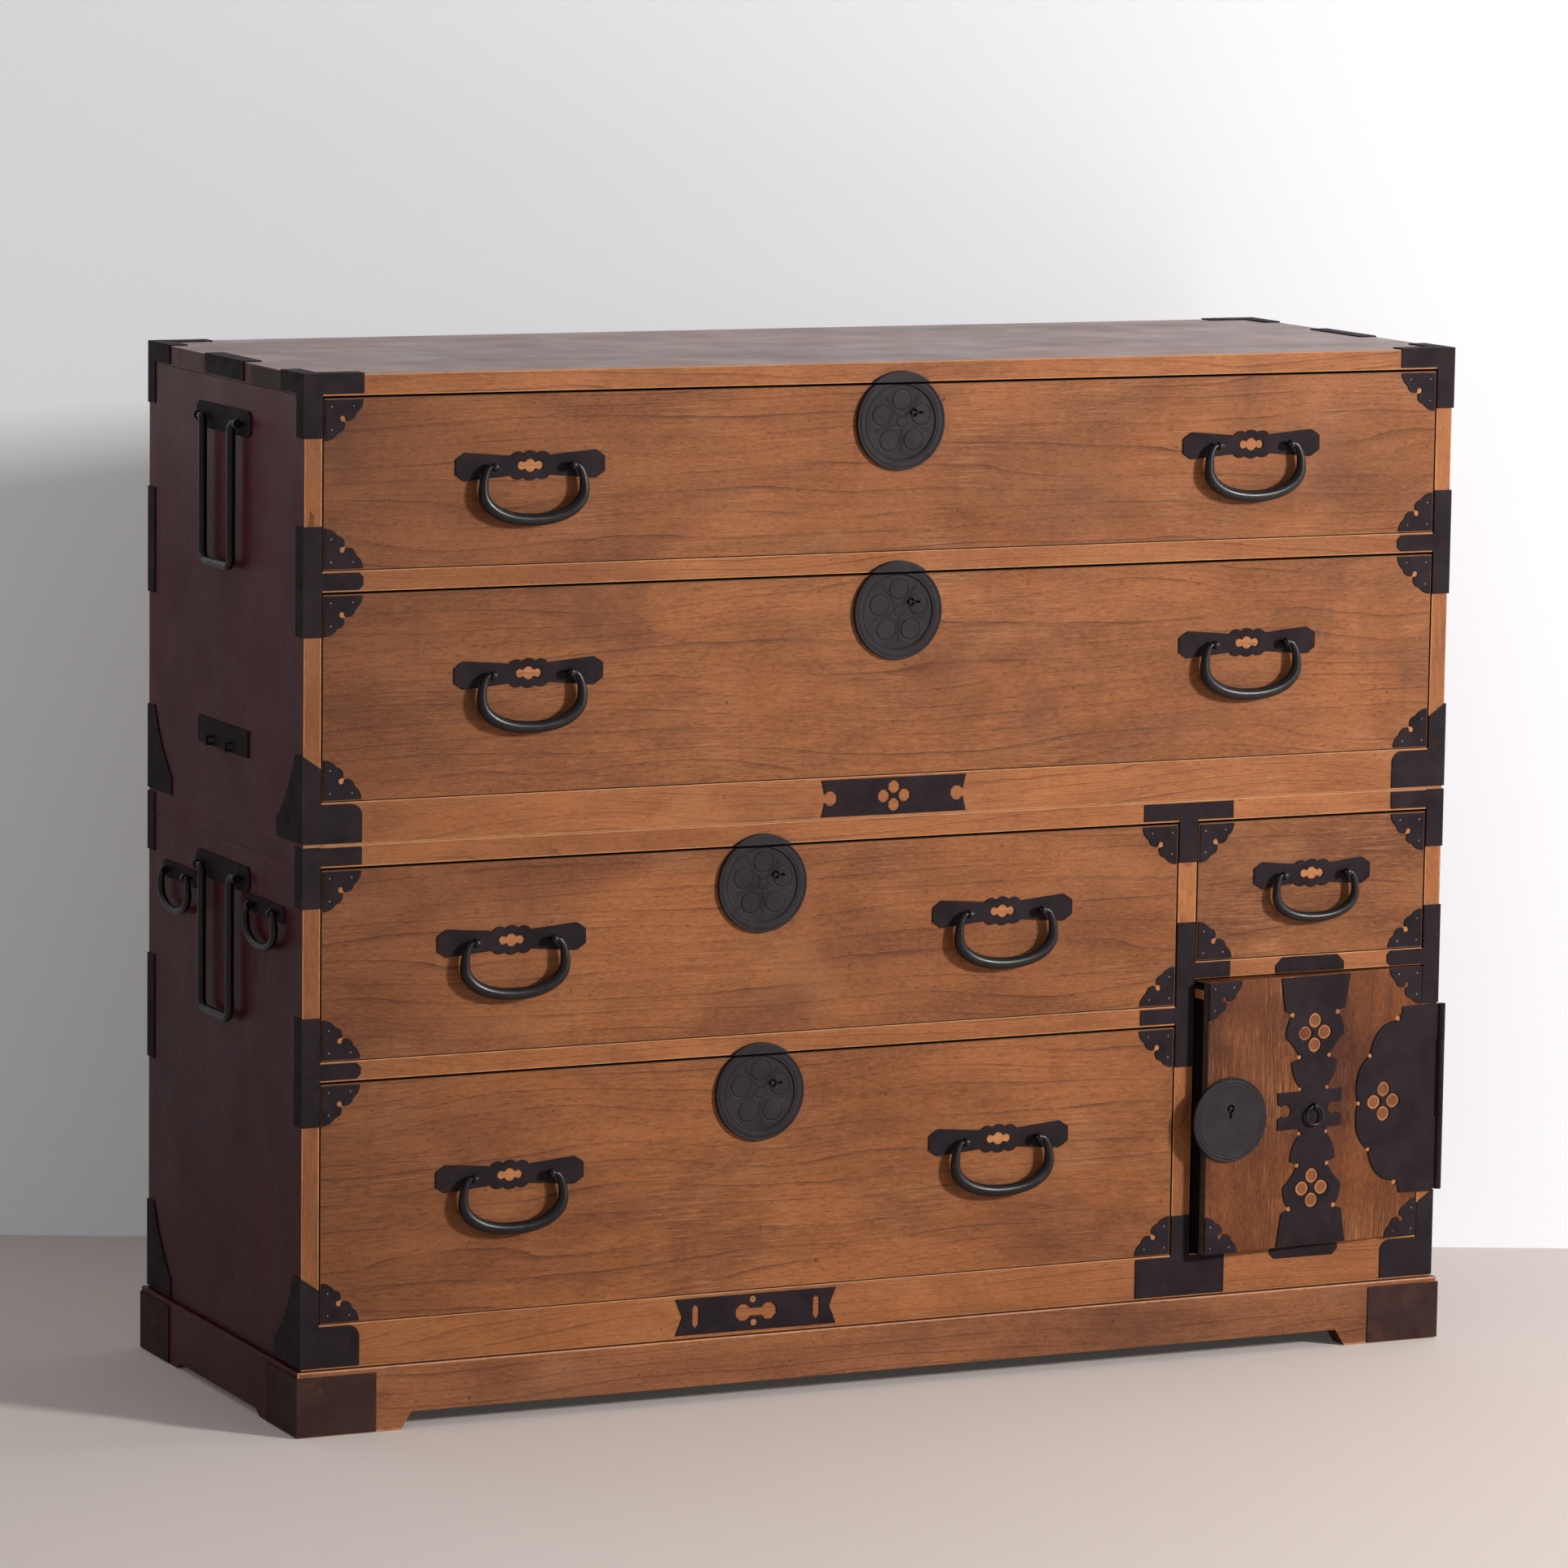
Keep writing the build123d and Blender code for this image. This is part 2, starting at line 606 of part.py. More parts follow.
def warabi_bail(pin_span, width, drop, bar_r):
    """A drop handle whose shoulders curl in to the pins; drawn in (X, Z) with the pins on Z = 0."""
    pin_in = pin_span / 2 - EYE_W / 2 - PIN_OVER
    pin_out = pin_span / 2 + EYE_W / 2 + PIN_OVER
    half = width / 2
    shoulder = (half - pin_out) * BAIL_SHOULDER
    knee = drop - width * BAIL_KNEE
    low = drop + width * BAIL_BOW
    path = FilletPolyline(
        (pin_in, 0),
        (half, 0),
        (half, -knee),
        (0, -low),
        (-half, -knee),
        (-half, 0),
        (-pin_in, 0),
        radius=[shoulder, width * BAIL_KNEE_R, width * BAIL_BOW_R, width * BAIL_KNEE_R, shoulder],
    )
    return tapered_bar(path, bar_r, pin_out - pin_in, width * BAIL_SWELL)


def carrying_handle():
    """A deep square bail; its upper ends turn outwards into the eyes. Drawn with the pins on Z = 0."""
    pin_out = CARRY_PIN_SPAN / 2 + EYE_W / 2 + PIN_OVER
    leg = CARRY_LEG_SPAN / 2
    path = FilletPolyline(
        (pin_out, 0),
        (leg, 0),
        (leg, -CARRY_DROP),
        (-leg, -CARRY_DROP),
        (-leg, 0),
        (-pin_out, 0),
        radius=[CARRY_TOP_BEND_R, CARRY_BOTTOM_BEND_R, CARRY_BOTTOM_BEND_R, CARRY_TOP_BEND_R],
    )
    return tapered_bar(path, CARRY_BAR_R, EYE_W + 2 * PIN_OVER, CARRY_TOP_BEND_R * 2)


def lock_plate(x, z_edge):
    """The drawer's part of a round lock plate: raised rim, plum-blossom relief and keyhole."""
    zc = z_edge - LOCK_DOWN
    below = rect(x - LOCK_R, x + LOCK_R, zc - LOCK_R, z_edge)
    disc = Pos(x, zc) * ngon(LOCK_R, LOCK_SIDES) & below
    rim = disc - Pos(x, zc) * ngon(LOCK_R - LOCK_RIM_W, LOCK_SIDES)
    bloom = [Pos(x, zc) * ngon(BLOOM_CENTRE_R)]
    for index in range(PETAL_COUNT):
        angle = math.radians(90 + 360 * index / PETAL_COUNT)
        place = Pos(x + PETAL_RING_R * math.cos(angle), zc + PETAL_RING_R * math.sin(angle))
        bloom.append(place * ngon(PETAL_R, PETAL_SIDES))
    plate = front_plate(disc, LOCK_T) + front_plate(rim, LOCK_T + LOCK_RIM_H)
    plate += [front_plate(face, LOCK_T + LOCK_RELIEF_H) for face in bloom]
    key_x, key_z = x + KEYHOLE_AT[0], zc + KEYHOLE_AT[1]
    slot = rect(key_x, key_x + KEY_SLOT_L, key_z - KEY_SLOT_W / 2, key_z + KEY_SLOT_W / 2)
    keyhole = Pos(key_x, key_z) * ngon(KEYHOLE_R) + slot
    plate -= front_plate(keyhole, LOCK_T + LOCK_RIM_H + LOCK_RELIEF_H)
    pin = front_plate(Pos(key_x, key_z) * ngon(KEY_PIN_R), LOCK_T)
    return [plate, pin]


def lock_catch(x, z_edge, z_rail):
    """The frame's part of a lock plate: the cap of the circle, on the rail above the drawer."""
    zc = z_edge - LOCK_DOWN + LOCK_CATCH_RISE
    above = rect(x - LOCK_R, x + LOCK_R, z_rail + LOCK_SPLIT_GAP, zc + LOCK_R)
    return front_plate(Pos(x, zc) * ngon(LOCK_R, LOCK_SIDES) & above, LOCK_T + LOCK_RIM_H)


def four_petals(x, z, across, up):
    """Four round holes about a centre, cut through a plate."""
    places = ((across, 0), (-across, 0), (0, up), (0, -up))
    return [Pos(x + dx, z + dz) * ngon(FOUR_PETAL_R) for dx, dz in places]


def rounded(face, points, radius):
    """The face with the corners nearest the given points rounded."""
    corners = [min(face.vertices(), key=lambda v, p=p: math.dist((v.X, v.Y), p)) for p in points]
    return fillet(corners, radius)


# ================================================================ case irons
def end_block(z0, z1, leg_top, length=ARM_LEN):
    """A bottom corner plate on the front: a block along the rail and a leg with a sloping top."""
    inner = HALF_W - SIDE_T
    outer = HALF_W + IRON_T
    block_face = rect(HALF_W - length, outer, z0, z1)
    block_face = rounded(block_face, [(HALF_W - length, z1)], BLOCK_ROUND)
    leg = outline((inner, z0), (outer, z0), (outer, leg_top), (HALF_W, leg_top), (inner, leg_top - LEG_SLOPE))
    return block_face + leg


def side_triangle(z0, z1):
    """The same iron on the side: a big corner plate with a hollow slanting edge."""
    mid_y = (SIDE_CORNER_W + SIDE_CORNER_LIP) / 2
    mid_z = (z0 + z1 + SIDE_CORNER_LIP) / 2
    face = [
        Line((0, z0), (SIDE_CORNER_W, z0)),
        Line((SIDE_CORNER_W, z0), (SIDE_CORNER_W, z0 + SIDE_CORNER_LIP)),
        ThreePointArc(
            (SIDE_CORNER_W, z0 + SIDE_CORNER_LIP),
            (mid_y - SIDE_CORNER_HOLLOW, mid_z - SIDE_CORNER_HOLLOW),
            (SIDE_CORNER_LIP, z1),
        ),
        Line((SIDE_CORNER_LIP, z1), (0, z1)),
        Line((0, z1), (0, z0)),
    ]
    return make_face(face)


def angle_iron(z0, z1, front_arm=None):
    """A plate folded round the case's front edge, with an optional arm along a rail."""
    front = rect(INNER_X, HALF_W + IRON_T, z0, z1)
    if front_arm:
        front += front_arm
    return front_plate(front) + side_plate(rect(0, ARM_W, z0, z1))


def rail_arm(z0, z1, length=RAIL_ARM_LEN):
    """The arm of an iron on a rail, its free end's corners cut."""
    x0 = HALF_W - length
    cut = ARM_CUT
    return outline((x0, z0 + cut), (x0 + cut, z0), (HALF_W, z0), (HALF_W, z1), (x0 + cut, z1), (x0, z1 - cut))


def to_rear(item):
    """The piece as it is on the back edge of the case."""
    return Pos(0, CASE_D, 0) * mirror(item, about=Plane.XZ)


def top_corner(z_top, leg):
    """An iron over an upper corner of the chest: front, side and top, each with an arm."""
    z_arm = z_top - ARM_W
    front = rect(INNER_X, HALF_W + IRON_T, z_top - leg, z_top + IRON_T)
    front += rect(HALF_W - ARM_LEN, HALF_W, z_arm, z_top + IRON_T)
    side = rect(0, ARM_W, z_top - leg, z_top + IRON_T) + rect(0, ARM_LEN, z_arm, z_top + IRON_T)
    cover = block(HALF_W - ARM_LEN, HALF_W, 0, ARM_W, z_top, z_top + IRON_T)
    cover += block(INNER_X, HALF_W, 0, ARM_LEN, z_top, z_top + IRON_T)
    return front_plate(front) + side_plate(side) + cover


def edge_strip(z_top):
    """A short strip folded over the middle of the top board's end."""
    y0, y1 = (CASE_D - EDGE_STRIP_L) / 2, (CASE_D + EDGE_STRIP_L) / 2
    strip = block(HALF_W, HALF_W + IRON_T, y0, y1, z_top - ARM_W, z_top + IRON_T)
    return strip + block(INNER_X, HALF_W, y0, y1, z_top, z_top + IRON_T)


def upper_irons():
    """Irons of the upper case: folded corner plates, tie plate, lock catches and side strips."""
    inset = IRON_INSET
    mid_z = (CEIL_2_Z + FLOOR_1_Z) / 2
    top = top_corner(TOP_Z, ARM_LEN)
    tee = angle_iron(mid_z - TEE_LEG, mid_z + TEE_LEG, rail_arm(CEIL_2_Z + inset, FLOOR_1_Z - inset))
    leg_top = UPPER_Z + CORNER_LEG_H
    foot = front_plate(end_block(UPPER_Z + inset, FLOOR_2_Z - inset, leg_top))
    foot += side_plate(side_triangle(UPPER_Z + inset, leg_top))
    strap = front_plate(upper_tie_face(0, (UPPER_Z + FLOOR_2_Z) / 2))
    front_irons = [top, tee, foot]
    add("upper_front_irons", both_sides(*front_irons), strap)
    for z_ceil in (CEIL_2_Z, CEIL_1_Z):
        add("upper_front_irons", lock_catch(0, z_ceil - DRAWER_TOP_GAP, z_ceil))
    rear = [to_rear(item) for item in (top, rear_tee(mid_z), foot)]
    add("upper_side_irons", both_sides(*rear, edge_strip(TOP_Z)))


def rear_tee(mid_z):
    """A plain folded strip beside a rail, for the back edge."""
    return angle_iron(mid_z - TEE_LEG, mid_z + TEE_LEG)


def upper_tie_face(x, z):
    """A strap over the seam rail: notched fish-tail ends and four round holes in the middle."""
    half, high = TIE_LEN / 2, TIE_H / 2
    face = outline(
        (x - half, z - high),
        (x + half, z - high),
        (x + half - TIE_TAIL, z),
        (x + half, z + high),
        (x - half, z + high),
        (x - half + TIE_TAIL, z),
    )
    for side in (-1, 1):
        face -= Pos(x + side * (half - TIE_NOTCH_IN), z) * ngon(TIE_NOTCH_R)
    return face - four_petals(x, z, FOUR_PETAL_AT, TIE_PETAL_UP)


def lower_tie_face(x, z):
    """The strap on the lower rail: fish-tail ends, upright slots and a dumbbell hole."""
    half, high = LOW_TIE_LEN / 2, TIE_H / 2
    face = outline(
        (x - half, z - high),
        (x + half, z - high),
        (x + half - LOW_TIE_TAIL, z),
        (x + half, z + high),
        (x - half, z + high),
        (x - half + LOW_TIE_TAIL, z),
    )
    for side in (-1, 1):
        slot_x = x + side * LOW_TIE_SLOT_AT
        slot_w, slot_h = LOW_TIE_SLOT_W / 2, LOW_TIE_SLOT_H / 2
        face -= outline(
            (slot_x - slot_w, z - slot_h + slot_w),
            (slot_x, z - slot_h),
            (slot_x + slot_w, z - slot_h + slot_w),
            (slot_x + slot_w, z + slot_h - slot_w),
            (slot_x, z + slot_h),
            (slot_x - slot_w, z + slot_h - slot_w),
        )
        face -= Pos(x + side * DUMBBELL_AT, z) * ngon(DUMBBELL_R)
    return face - rect(x - DUMBBELL_AT, x + DUMBBELL_AT, z - DUMBBELL_W / 2, z + DUMBBELL_W / 2)


def door_rail_plate(z0, z1, up):
    """A small plate on the rail above or below the door, its corners cut on the side away from it."""
    half = DOOR_RAIL_PLATE_L / 2
    x = DOOR_MID_X
    near, far = (z0, z1) if up else (z1, z0)
    cut = (far - near) * DOOR_RAIL_PLATE_CUT
    return outline(
        (x - half, near),
        (x + half, near),
        (x + half, far - cut),
        (x + half - abs(cut), far),
        (x - half + abs(cut), far),
        (x - half, far - cut),
    )


def lower_irons():
    """Irons of the lower case: folded corners, divider plates, tie plate, lock catches and side strips."""
    inset = IRON_INSET
    z_top = UPPER_Z
    top_arm = rect(HALF_W - ARM_LEN, HALF_W, CEIL_3_Z + inset, z_top - inset)
    top = angle_iron(z_top - ARM_LEN, z_top - inset / 2, top_arm)
    left_mid = (CEIL_4_Z + FLOOR_3_Z) / 2
    left_arm = rail_arm(CEIL_4_Z + inset, FLOOR_3_Z - inset)
    left_tee = flip_x(angle_iron(left_mid - TEE_LEG, left_mid + TEE_LEG, left_arm))
    right_mid = (DOOR_CEIL_Z + FLOOR_S_Z) / 2
    right_arm = rail_arm(DOOR_CEIL_Z + PLATE_GAP, FLOOR_S_Z - PLATE_GAP)
    right_tee = angle_iron(HINGE_TOP_Z + PLATE_GAP, right_mid + TEE_LEG, right_arm)
    leg_top = HINGE_TOP_Z - HINGE_H - PLATE_GAP
    foot = front_plate(end_block(LOWER_Z + inset, FLOOR_4_Z - inset, leg_top))
    foot += side_plate(side_triangle(LOWER_Z + inset, leg_top))
    add("lower_front_irons", both_sides(top, foot), left_tee, right_tee)
    add("lower_front_irons", [front_plate(face) for face in divider_faces(left_mid, right_mid)])
    add("lower_front_irons", front_plate(lower_tie_face(LEFT_BAY_MID, (LOWER_Z + FLOOR_4_Z) / 2)))
    gap = PLATE_GAP
    add("lower_front_irons", front_plate(door_rail_plate(DOOR_CEIL_Z + gap, FLOOR_S_Z - gap, True)))
    plate_low = FLOOR_4_Z - DOOR_RAIL_PLATE_H
    add("lower_front_irons", front_plate(door_rail_plate(plate_low, FLOOR_4_Z - gap, False)))
    for z_ceil in (CEIL_4_Z, CEIL_3_Z):
        add("lower_front_irons", lock_catch(LEFT_BAY_MID, z_ceil - DRAWER_TOP_GAP, z_ceil))
    rear = [to_rear(item) for item in (top, rear_tee(left_mid), foot)]
    add("lower_side_irons", both_sides(*rear))


def divider_faces(left_mid, right_mid):
    """The three plates on the divider's front edge: top tee, middle tees and bottom block."""
    inset = IRON_INSET
    x_mid = (DIVIDER_X0 + DIVIDER_X1) / 2
    top = rect(x_mid - DIVIDER_ARM, x_mid + DIVIDER_ARM, CEIL_3_Z + inset, UPPER_Z - inset)
    top += rect(DIVIDER_X0, DIVIDER_X1, CEIL_3_Z - DIVIDER_TOP_LEG, CEIL_3_Z + inset)
    middle = rect(DIVIDER_X0, DIVIDER_X1, left_mid - TEE_LEG, right_mid + DIVIDER_RIGHT_UP)
    middle += rect(x_mid - DIVIDER_ARM, DIVIDER_X0, CEIL_4_Z + inset, FLOOR_3_Z - inset)
    middle += rect(DIVIDER_X1, x_mid + DIVIDER_ARM, DOOR_CEIL_Z + PLATE_GAP, FLOOR_S_Z - PLATE_GAP)
    bottom = rect(x_mid - DIVIDER_ARM, x_mid + DIVIDER_ARM, LOWER_Z + inset, FLOOR_4_Z - inset)
    bottom += rect(DIVIDER_X0, DIVIDER_X1, FLOOR_4_Z - inset, FLOOR_4_Z + DIVIDER_BOTTOM_LEG)
    return [top, middle, bottom]


# ================================================================ side hardware
def pin_plate(y, z, size, pin_span, standoff, cut):
    """A long plate on the side with two eyes; returns the solids and the slots they need in the board."""
    half = size[0] / 2
    high = size[1] / 2
    face = outline(
        (y - half, z - high + cut),
        (y - half + cut, z - high),
        (y + half - cut, z - high),
        (y + half, z - high + cut),
        (y + half, z + high - cut),
        (y + half - cut, z + high),
        (y - half + cut, z + high),
        (y - half, z + high - cut),
    )
    plate = side_plate(face, PLATE_T)
    eyes = []
    slots = []
    for side in (-1, 1):
        pin_y = y + side * pin_span / 2
        slot = side_slot(pin_y, z)
        plate -= slot
        slots.append(slot)
        eyes.append(Pos(HALF_W, pin_y, z) * side_eye(SIDE_T, PLATE_T, standoff))
    return [plate, *eyes], slots


def side_slot(y, z):
    """The hole for an eye's shank through a side plate and the side board."""
    half_w = EYE_W / 2 + SHANK_CLEARANCE
    half_h = SHANK_T / 2 + SHANK_CLEARANCE
    return block(INNER_X - EPS, HALF_W + PLATE_T + EPS, y - half_w, y + half_w, z - half_h, z + half_h)


def staple_plate(y, z):
    """The plate above the raised lower handle, with two square staples standing out of it."""
    half, high = STAPLE_PLATE_L / 2, STAPLE_PLATE_H / 2
    plate = side_plate(rect(y - half, y + half, z - high, z + high), PLATE_T)
    loop = rect(PLATE_T, STAPLE_OUT, -STAPLE_H / 2, STAPLE_H / 2)
    hollow = STAPLE_H / 2 - STAPLE_WALL
    loop -= rect(PLATE_T - EPS, STAPLE_OUT - STAPLE_WALL, -hollow, hollow)
    across = Plane(origin=(0, -STAPLE_W / 2, 0), x_dir=(1, 0, 0), z_dir=(0, 1, 0))
    staple = extrude(across * loop, amount=STAPLE_W)
    for side in (-1, 1):
        plate += Pos(HALF_W, y + side * STAPLE_SPAN / 2, z - STAPLE_DOWN) * staple
    return plate


def side_hardware():
    """Carrying handles on both cases and four small bails on the lower case, on both sides."""
    y = CASE_D / 2
    handle = carrying_handle()
    for case, z in (("upper", TOP_Z - UPPER_CARRY_Z_DOWN), ("lower", UPPER_Z - LOWER_CARRY_Z_DOWN)):
        size = (CARRY_PLATE_L, CARRY_PLATE_H)
        pieces, slots = pin_plate(y, z, size, CARRY_PIN_SPAN, CARRY_STANDOFF, CARRY_PLATE_CUT)
        add(f"{case}_handle_mounts", both_sides(*pieces))
        cut_sides(case, slots)
        right = Pos(HALF_W + CARRY_STANDOFF, y, z) * (Plane.YZ * handle)
        add(f"{case}_handle_right", right)
        add(f"{case}_handle_left", flip_x(right))
    add("upper_handle_mounts", both_sides(staple_plate(y, UPPER_Z + STAPLE_PLATE_UP)))
    bail = warabi_bail(**SIDE_BAIL)
    z = UPPER_Z - SIDE_BAIL_DOWN
    for place, sign in (("front", -1), ("rear", 1)):
        bail_y = y + sign * (y - SIDE_BAIL_IN)
        size = (SIDE_BAIL_PLATE_L, SIDE_BAIL_PLATE_H)
        fit = (SIDE_BAIL_PIN_SPAN, SIDE_BAIL_STANDOFF, SIDE_BAIL_PLATE_CUT)
        pieces, slots = pin_plate(bail_y, z, size, *fit)
        add("lower_handle_mounts", both_sides(*pieces))
        cut_sides("lower", slots)
        right = Pos(HALF_W + SIDE_BAIL_STANDOFF, bail_y, z) * (Plane.YZ * bail)
        add(f"side_bail_right_{place}", right)
        add(f"side_bail_left_{place}", flip_x(right))


def cut_sides(case, slots):
    """Cut the eyes' holes in a case's side boards."""
    right, left = PARTS[f"{case}_side_boards"]
    PARTS[f"{case}_side_boards"] = [right - slots, left - [flip_x(slot) for slot in slots]]


# ================================================================ door
def door():
    """The small door, modelled shut and then swung ajar about its hinge pin."""
    y0, y1 = -DOOR_PROUD, DOOR_T - DOOR_PROUD
    z_low, z_high = DOOR_Z0 + DOOR_BATTEN_H, DOOR_Z1 - DOOR_BATTEN_H
    board = block(DOOR_X0, DOOR_X1, y0, y1, z_low, z_high)
    battens = [block(DOOR_X0, DOOR_X1, y0, y1, *span) for span in ((DOOR_Z0, z_low), (z_high, DOOR_Z1))]
    chamfer = outline((DOOR_X0, y0), (DOOR_X0 + DOOR_CHAMFER, y0), (DOOR_X0, y0 + DOOR_CHAMFER))
    bevel = extrude(chamfer, CASE_W)
    peg_z = DOOR_Z1 - DOOR_PEG_DOWN
    peg_y = (y0 + y1) / 2
    half = DOOR_PEG / 2
    peg = block(DOOR_X0, DOOR_X0 + 2 * DOOR_PEG, peg_y - half, peg_y + half, peg_z - half, peg_z + half)
    battens[1] -= peg
    eye_z = DOOR_MID_Z + RING_EYE_UP
    slot_x = RING_EYE_W / 2 + SHANK_CLEARANCE
    slot_z = SHANK_T / 2 + SHANK_CLEARANCE
    slot = block(DOOR_MID_X - slot_x, DOOR_MID_X + slot_x, -DOOR_T, DOOR_T, eye_z - slot_z, eye_z + slot_z)
    board -= slot
    add("door_panel", swing(*[item - bevel for item in (board, *battens)], peg))
    strap = front_plate(strap_face(DOOR_MID_X, DOOR_MID_Z), IRON_T, DOOR_PROUD) - slot
    faces = corner_plates(DOOR_X0 + DOOR_CHAMFER, DOOR_X1, DOOR_Z0 + EPS, DOOR_Z1 - EPS)
    hole_r = math.hypot(RING_W, RING_T) / 2 + RING_CLEARANCE
    eye = Pos(DOOR_MID_X, -DOOR_PROUD, eye_z) * front_eye(DOOR_T, IRON_T, RING_STANDOFF, hole_r, RING_EYE_W)
    add("door_irons", swing(strap, *[front_plate(face, IRON_T, DOOR_PROUD) for face in faces], eye))
    hoop = ngon(RING_R + RING_W / 2, RING_SIDES) - ngon(RING_R - RING_W / 2, RING_SIDES)
    ring = Pos(DOOR_MID_X, -DOOR_PROUD - RING_STANDOFF + RING_T / 2, eye_z - RING_R)
    add("door_ring", swing(ring * extrude(FRONT * hoop, RING_T)))
    add("door_lock_plate", swing(*door_lock()))
    add("door_hinge_leaf", swing(door_leaf()))
    add("door_hinge_case_leaf", case_leaf(), hinge_pin())


def swing(*solids):
    """The closed door's pieces turned about the hinge pin to where the door stands ajar."""
    return [item.rotate(HINGE_AXIS, DOOR_AJAR) for item in solids]


def strap_face(x, z):
    """The door's long strap, cut from one plate: end blocks, pierced roses, buds and a notched cross bar."""
    top = (DOOR_Z1 - DOOR_Z0) / 2
    end = STRAP_END_W / 2
    neck = (end - STRAP_END_TAPER, top - STRAP_END_H)
    middle = (BUD_FOOT[0], 0)
    edge = [
        Line((0, top), (end, top)),
        Line((end, top), neck),
        Line(neck, ROSE_TOP),
        ThreePointArc(ROSE_TOP, ROSE_SIDE, ROSE_FOOT),
        ThreePointArc(ROSE_FOOT, BUD_SIDE, BUD_FOOT),
        Line(BUD_FOOT, middle),
        Line(middle, (0, 0)),
        Line((0, 0), (0, top)),
    ]
    quarter = make_face(edge)
    half = quarter + flip_x(quarter)
    face = half + mirror(half, about=Plane.XZ)
    face += Pos(CROSS_SHIFT, 0) * rect(-CROSS_W / 2, CROSS_W / 2, -CROSS_H / 2, CROSS_H / 2)
    for side in (-1, 1):
        bite_x = CROSS_SHIFT + side * CROSS_W / 2
        mouth = rect(bite_x - CROSS_MOUTH / 2, bite_x + CROSS_MOUTH / 2, -CROSS_MOUTH / 2, CROSS_MOUTH / 2)
        face -= mouth + Pos(bite_x - side * CROSS_BITE_IN, 0) * ngon(CROSS_BITE_R)
        for up in (-1, 1):
            for nail in (ROSE_TOP, ROSE_FOOT, BUD_FOOT):
                face -= Pos(side * nail[0], up * nail[1]) * ngon(CUSP_HOLE_R, EYE_HOLE_SIDES)
    for up in (-1, 1):
        face -= four_petals(0, up * STRAP_PETALS_AT, FOUR_PETAL_AT, FOUR_PETAL_UP)
    return Pos(x, z) * face


def door_lock():
    """The door's round lock plate, which laps over the divider when the door is shut."""
    x = DOOR_X0 + DOOR_LOCK_IN
    z = DOOR_MID_Z - DOOR_LOCK_LOW
    disc = Pos(x, z) * ngon(DOOR_LOCK_R, LOCK_SIDES)
    key = Pos(x - DOOR_KEY_OFF[0], z + DOOR_KEY_OFF[1])
    hole = key * ngon(KEYHOLE_R) + key * Rectangle(KEY_SLOT_W, 2 * KEY_SLOT_L)
    plate = front_plate(disc - hole, DOOR_LOCK_T, DOOR_PROUD)
    pin = front_plate(key * ngon(KEY_PIN_R), DOOR_LOCK_T, DOOR_PROUD)
    return [plate, pin]


def door_leaf():
    """The half-round hinge plate on the door, scalloped, with knuckles at the top and the bottom."""
    z_top, z_low = HINGE_TOP_Z, HINGE_TOP_Z - HINGE_H
    x_edge = HALF_W - LEAF_EDGE_GAP
    z_mid = (z_top + z_low) / 2
    face = Pos(0, z_mid) * scallops(x_edge)
    face -= four_petals(HALF_W - LEAF_PETAL_IN, z_mid, FOUR_PETAL_AT, FOUR_PETAL_UP)
    leaf = front_plate(face, HINGE_LEAF_T, DOOR_PROUD)
    mid_top = z_top - HINGE_MID_DOWN
    for z0, z1 in ((z_low, mid_top - HINGE_MID_H), (mid_top, z_top)):
        leaf += front_plate(rect(x_edge - EPS, HINGE_X, z0, z1), HINGE_LEAF_T, DOOR_PROUD)
        leaf += Pos(HINGE_X, -HINGE_FORWARD, (z0 + z1) / 2) * Cylinder(HINGE_BARREL_R, z1 - z0)
    return leaf - pin_bore()


def scallops(x_edge):
    """The leaf's outline: lobes between pierced notches that lie on a half circle about the hinge."""
    half_h = HINGE_H / 2
    turns = [math.radians(angle) for angle in LEAF_NOTCH_ANGLES]
    notches = [(HALF_W - LEAF_NOTCH_R * math.sin(turn), LEAF_NOTCH_R * math.cos(turn)) for turn in turns]
    points = [(HALF_W - LEAF_SHOULDER, half_h), *notches, (HALF_W - LEAF_SHOULDER, -half_h)]
    edges = [Line((x_edge, half_h), points[0])]
    for start, end in zip(points, points[1:]):
        middle = ((start[0] + end[0]) / 2, (start[1] + end[1]) / 2)
        grow = 1 + LEAF_LOBE / math.hypot(middle[0] - HALF_W, middle[1])
        crown = (HALF_W + (middle[0] - HALF_W) * grow, middle[1] * grow)
        edges.append(ThreePointArc(start, crown, end))
    edges += [Line(points[-1], (x_edge, -half_h)), Line((x_edge, -half_h), (x_edge, half_h))]
    return make_face(edges) - [Pos(*notch) * ngon(CUSP_HOLE_R, EYE_HOLE_SIDES) for notch in notches]


def pin_bore():
    """The hole through all knuckles, a running fit on the pin."""
    return hinge_middle() * Cylinder(HINGE_PIN_R + HINGE_PIN_CLEARANCE, 2 * HINGE_H)


def hinge_middle():
    """The place on the hinge's axis half way up its leaves."""
    return Pos(HINGE_X, -HINGE_FORWARD, HINGE_TOP_Z - HINGE_H / 2)


def case_leaf():
    """The hinge plate on the case's side, with the middle knuckle."""
    z_top, z_low = HINGE_TOP_Z, HINGE_TOP_Z - HINGE_H
    k1 = z_top - HINGE_MID_DOWN - HINGE_KNUCKLE_GAP
    k0 = k1 - HINGE_MID_H + 2 * HINGE_KNUCKLE_GAP
    leaf = side_plate(rect(CASE_LEAF_SETBACK, HINGE_CASE_LEAF_D, z_low, z_top), HINGE_LEAF_T)
    leaf += block(HALF_W, HALF_W + HINGE_LEAF_T, -HINGE_FORWARD, HINGE_CASE_LEAF_D, k0, k1)
    leaf += Pos(HINGE_X, -HINGE_FORWARD, (k0 + k1) / 2) * Cylinder(HINGE_BARREL_R, k1 - k0)
    return leaf - pin_bore()


def hinge_pin():
    """The pin through the knuckles, its ends filed flush with them."""
    return hinge_middle() * Cylinder(HINGE_PIN_R, HINGE_H)


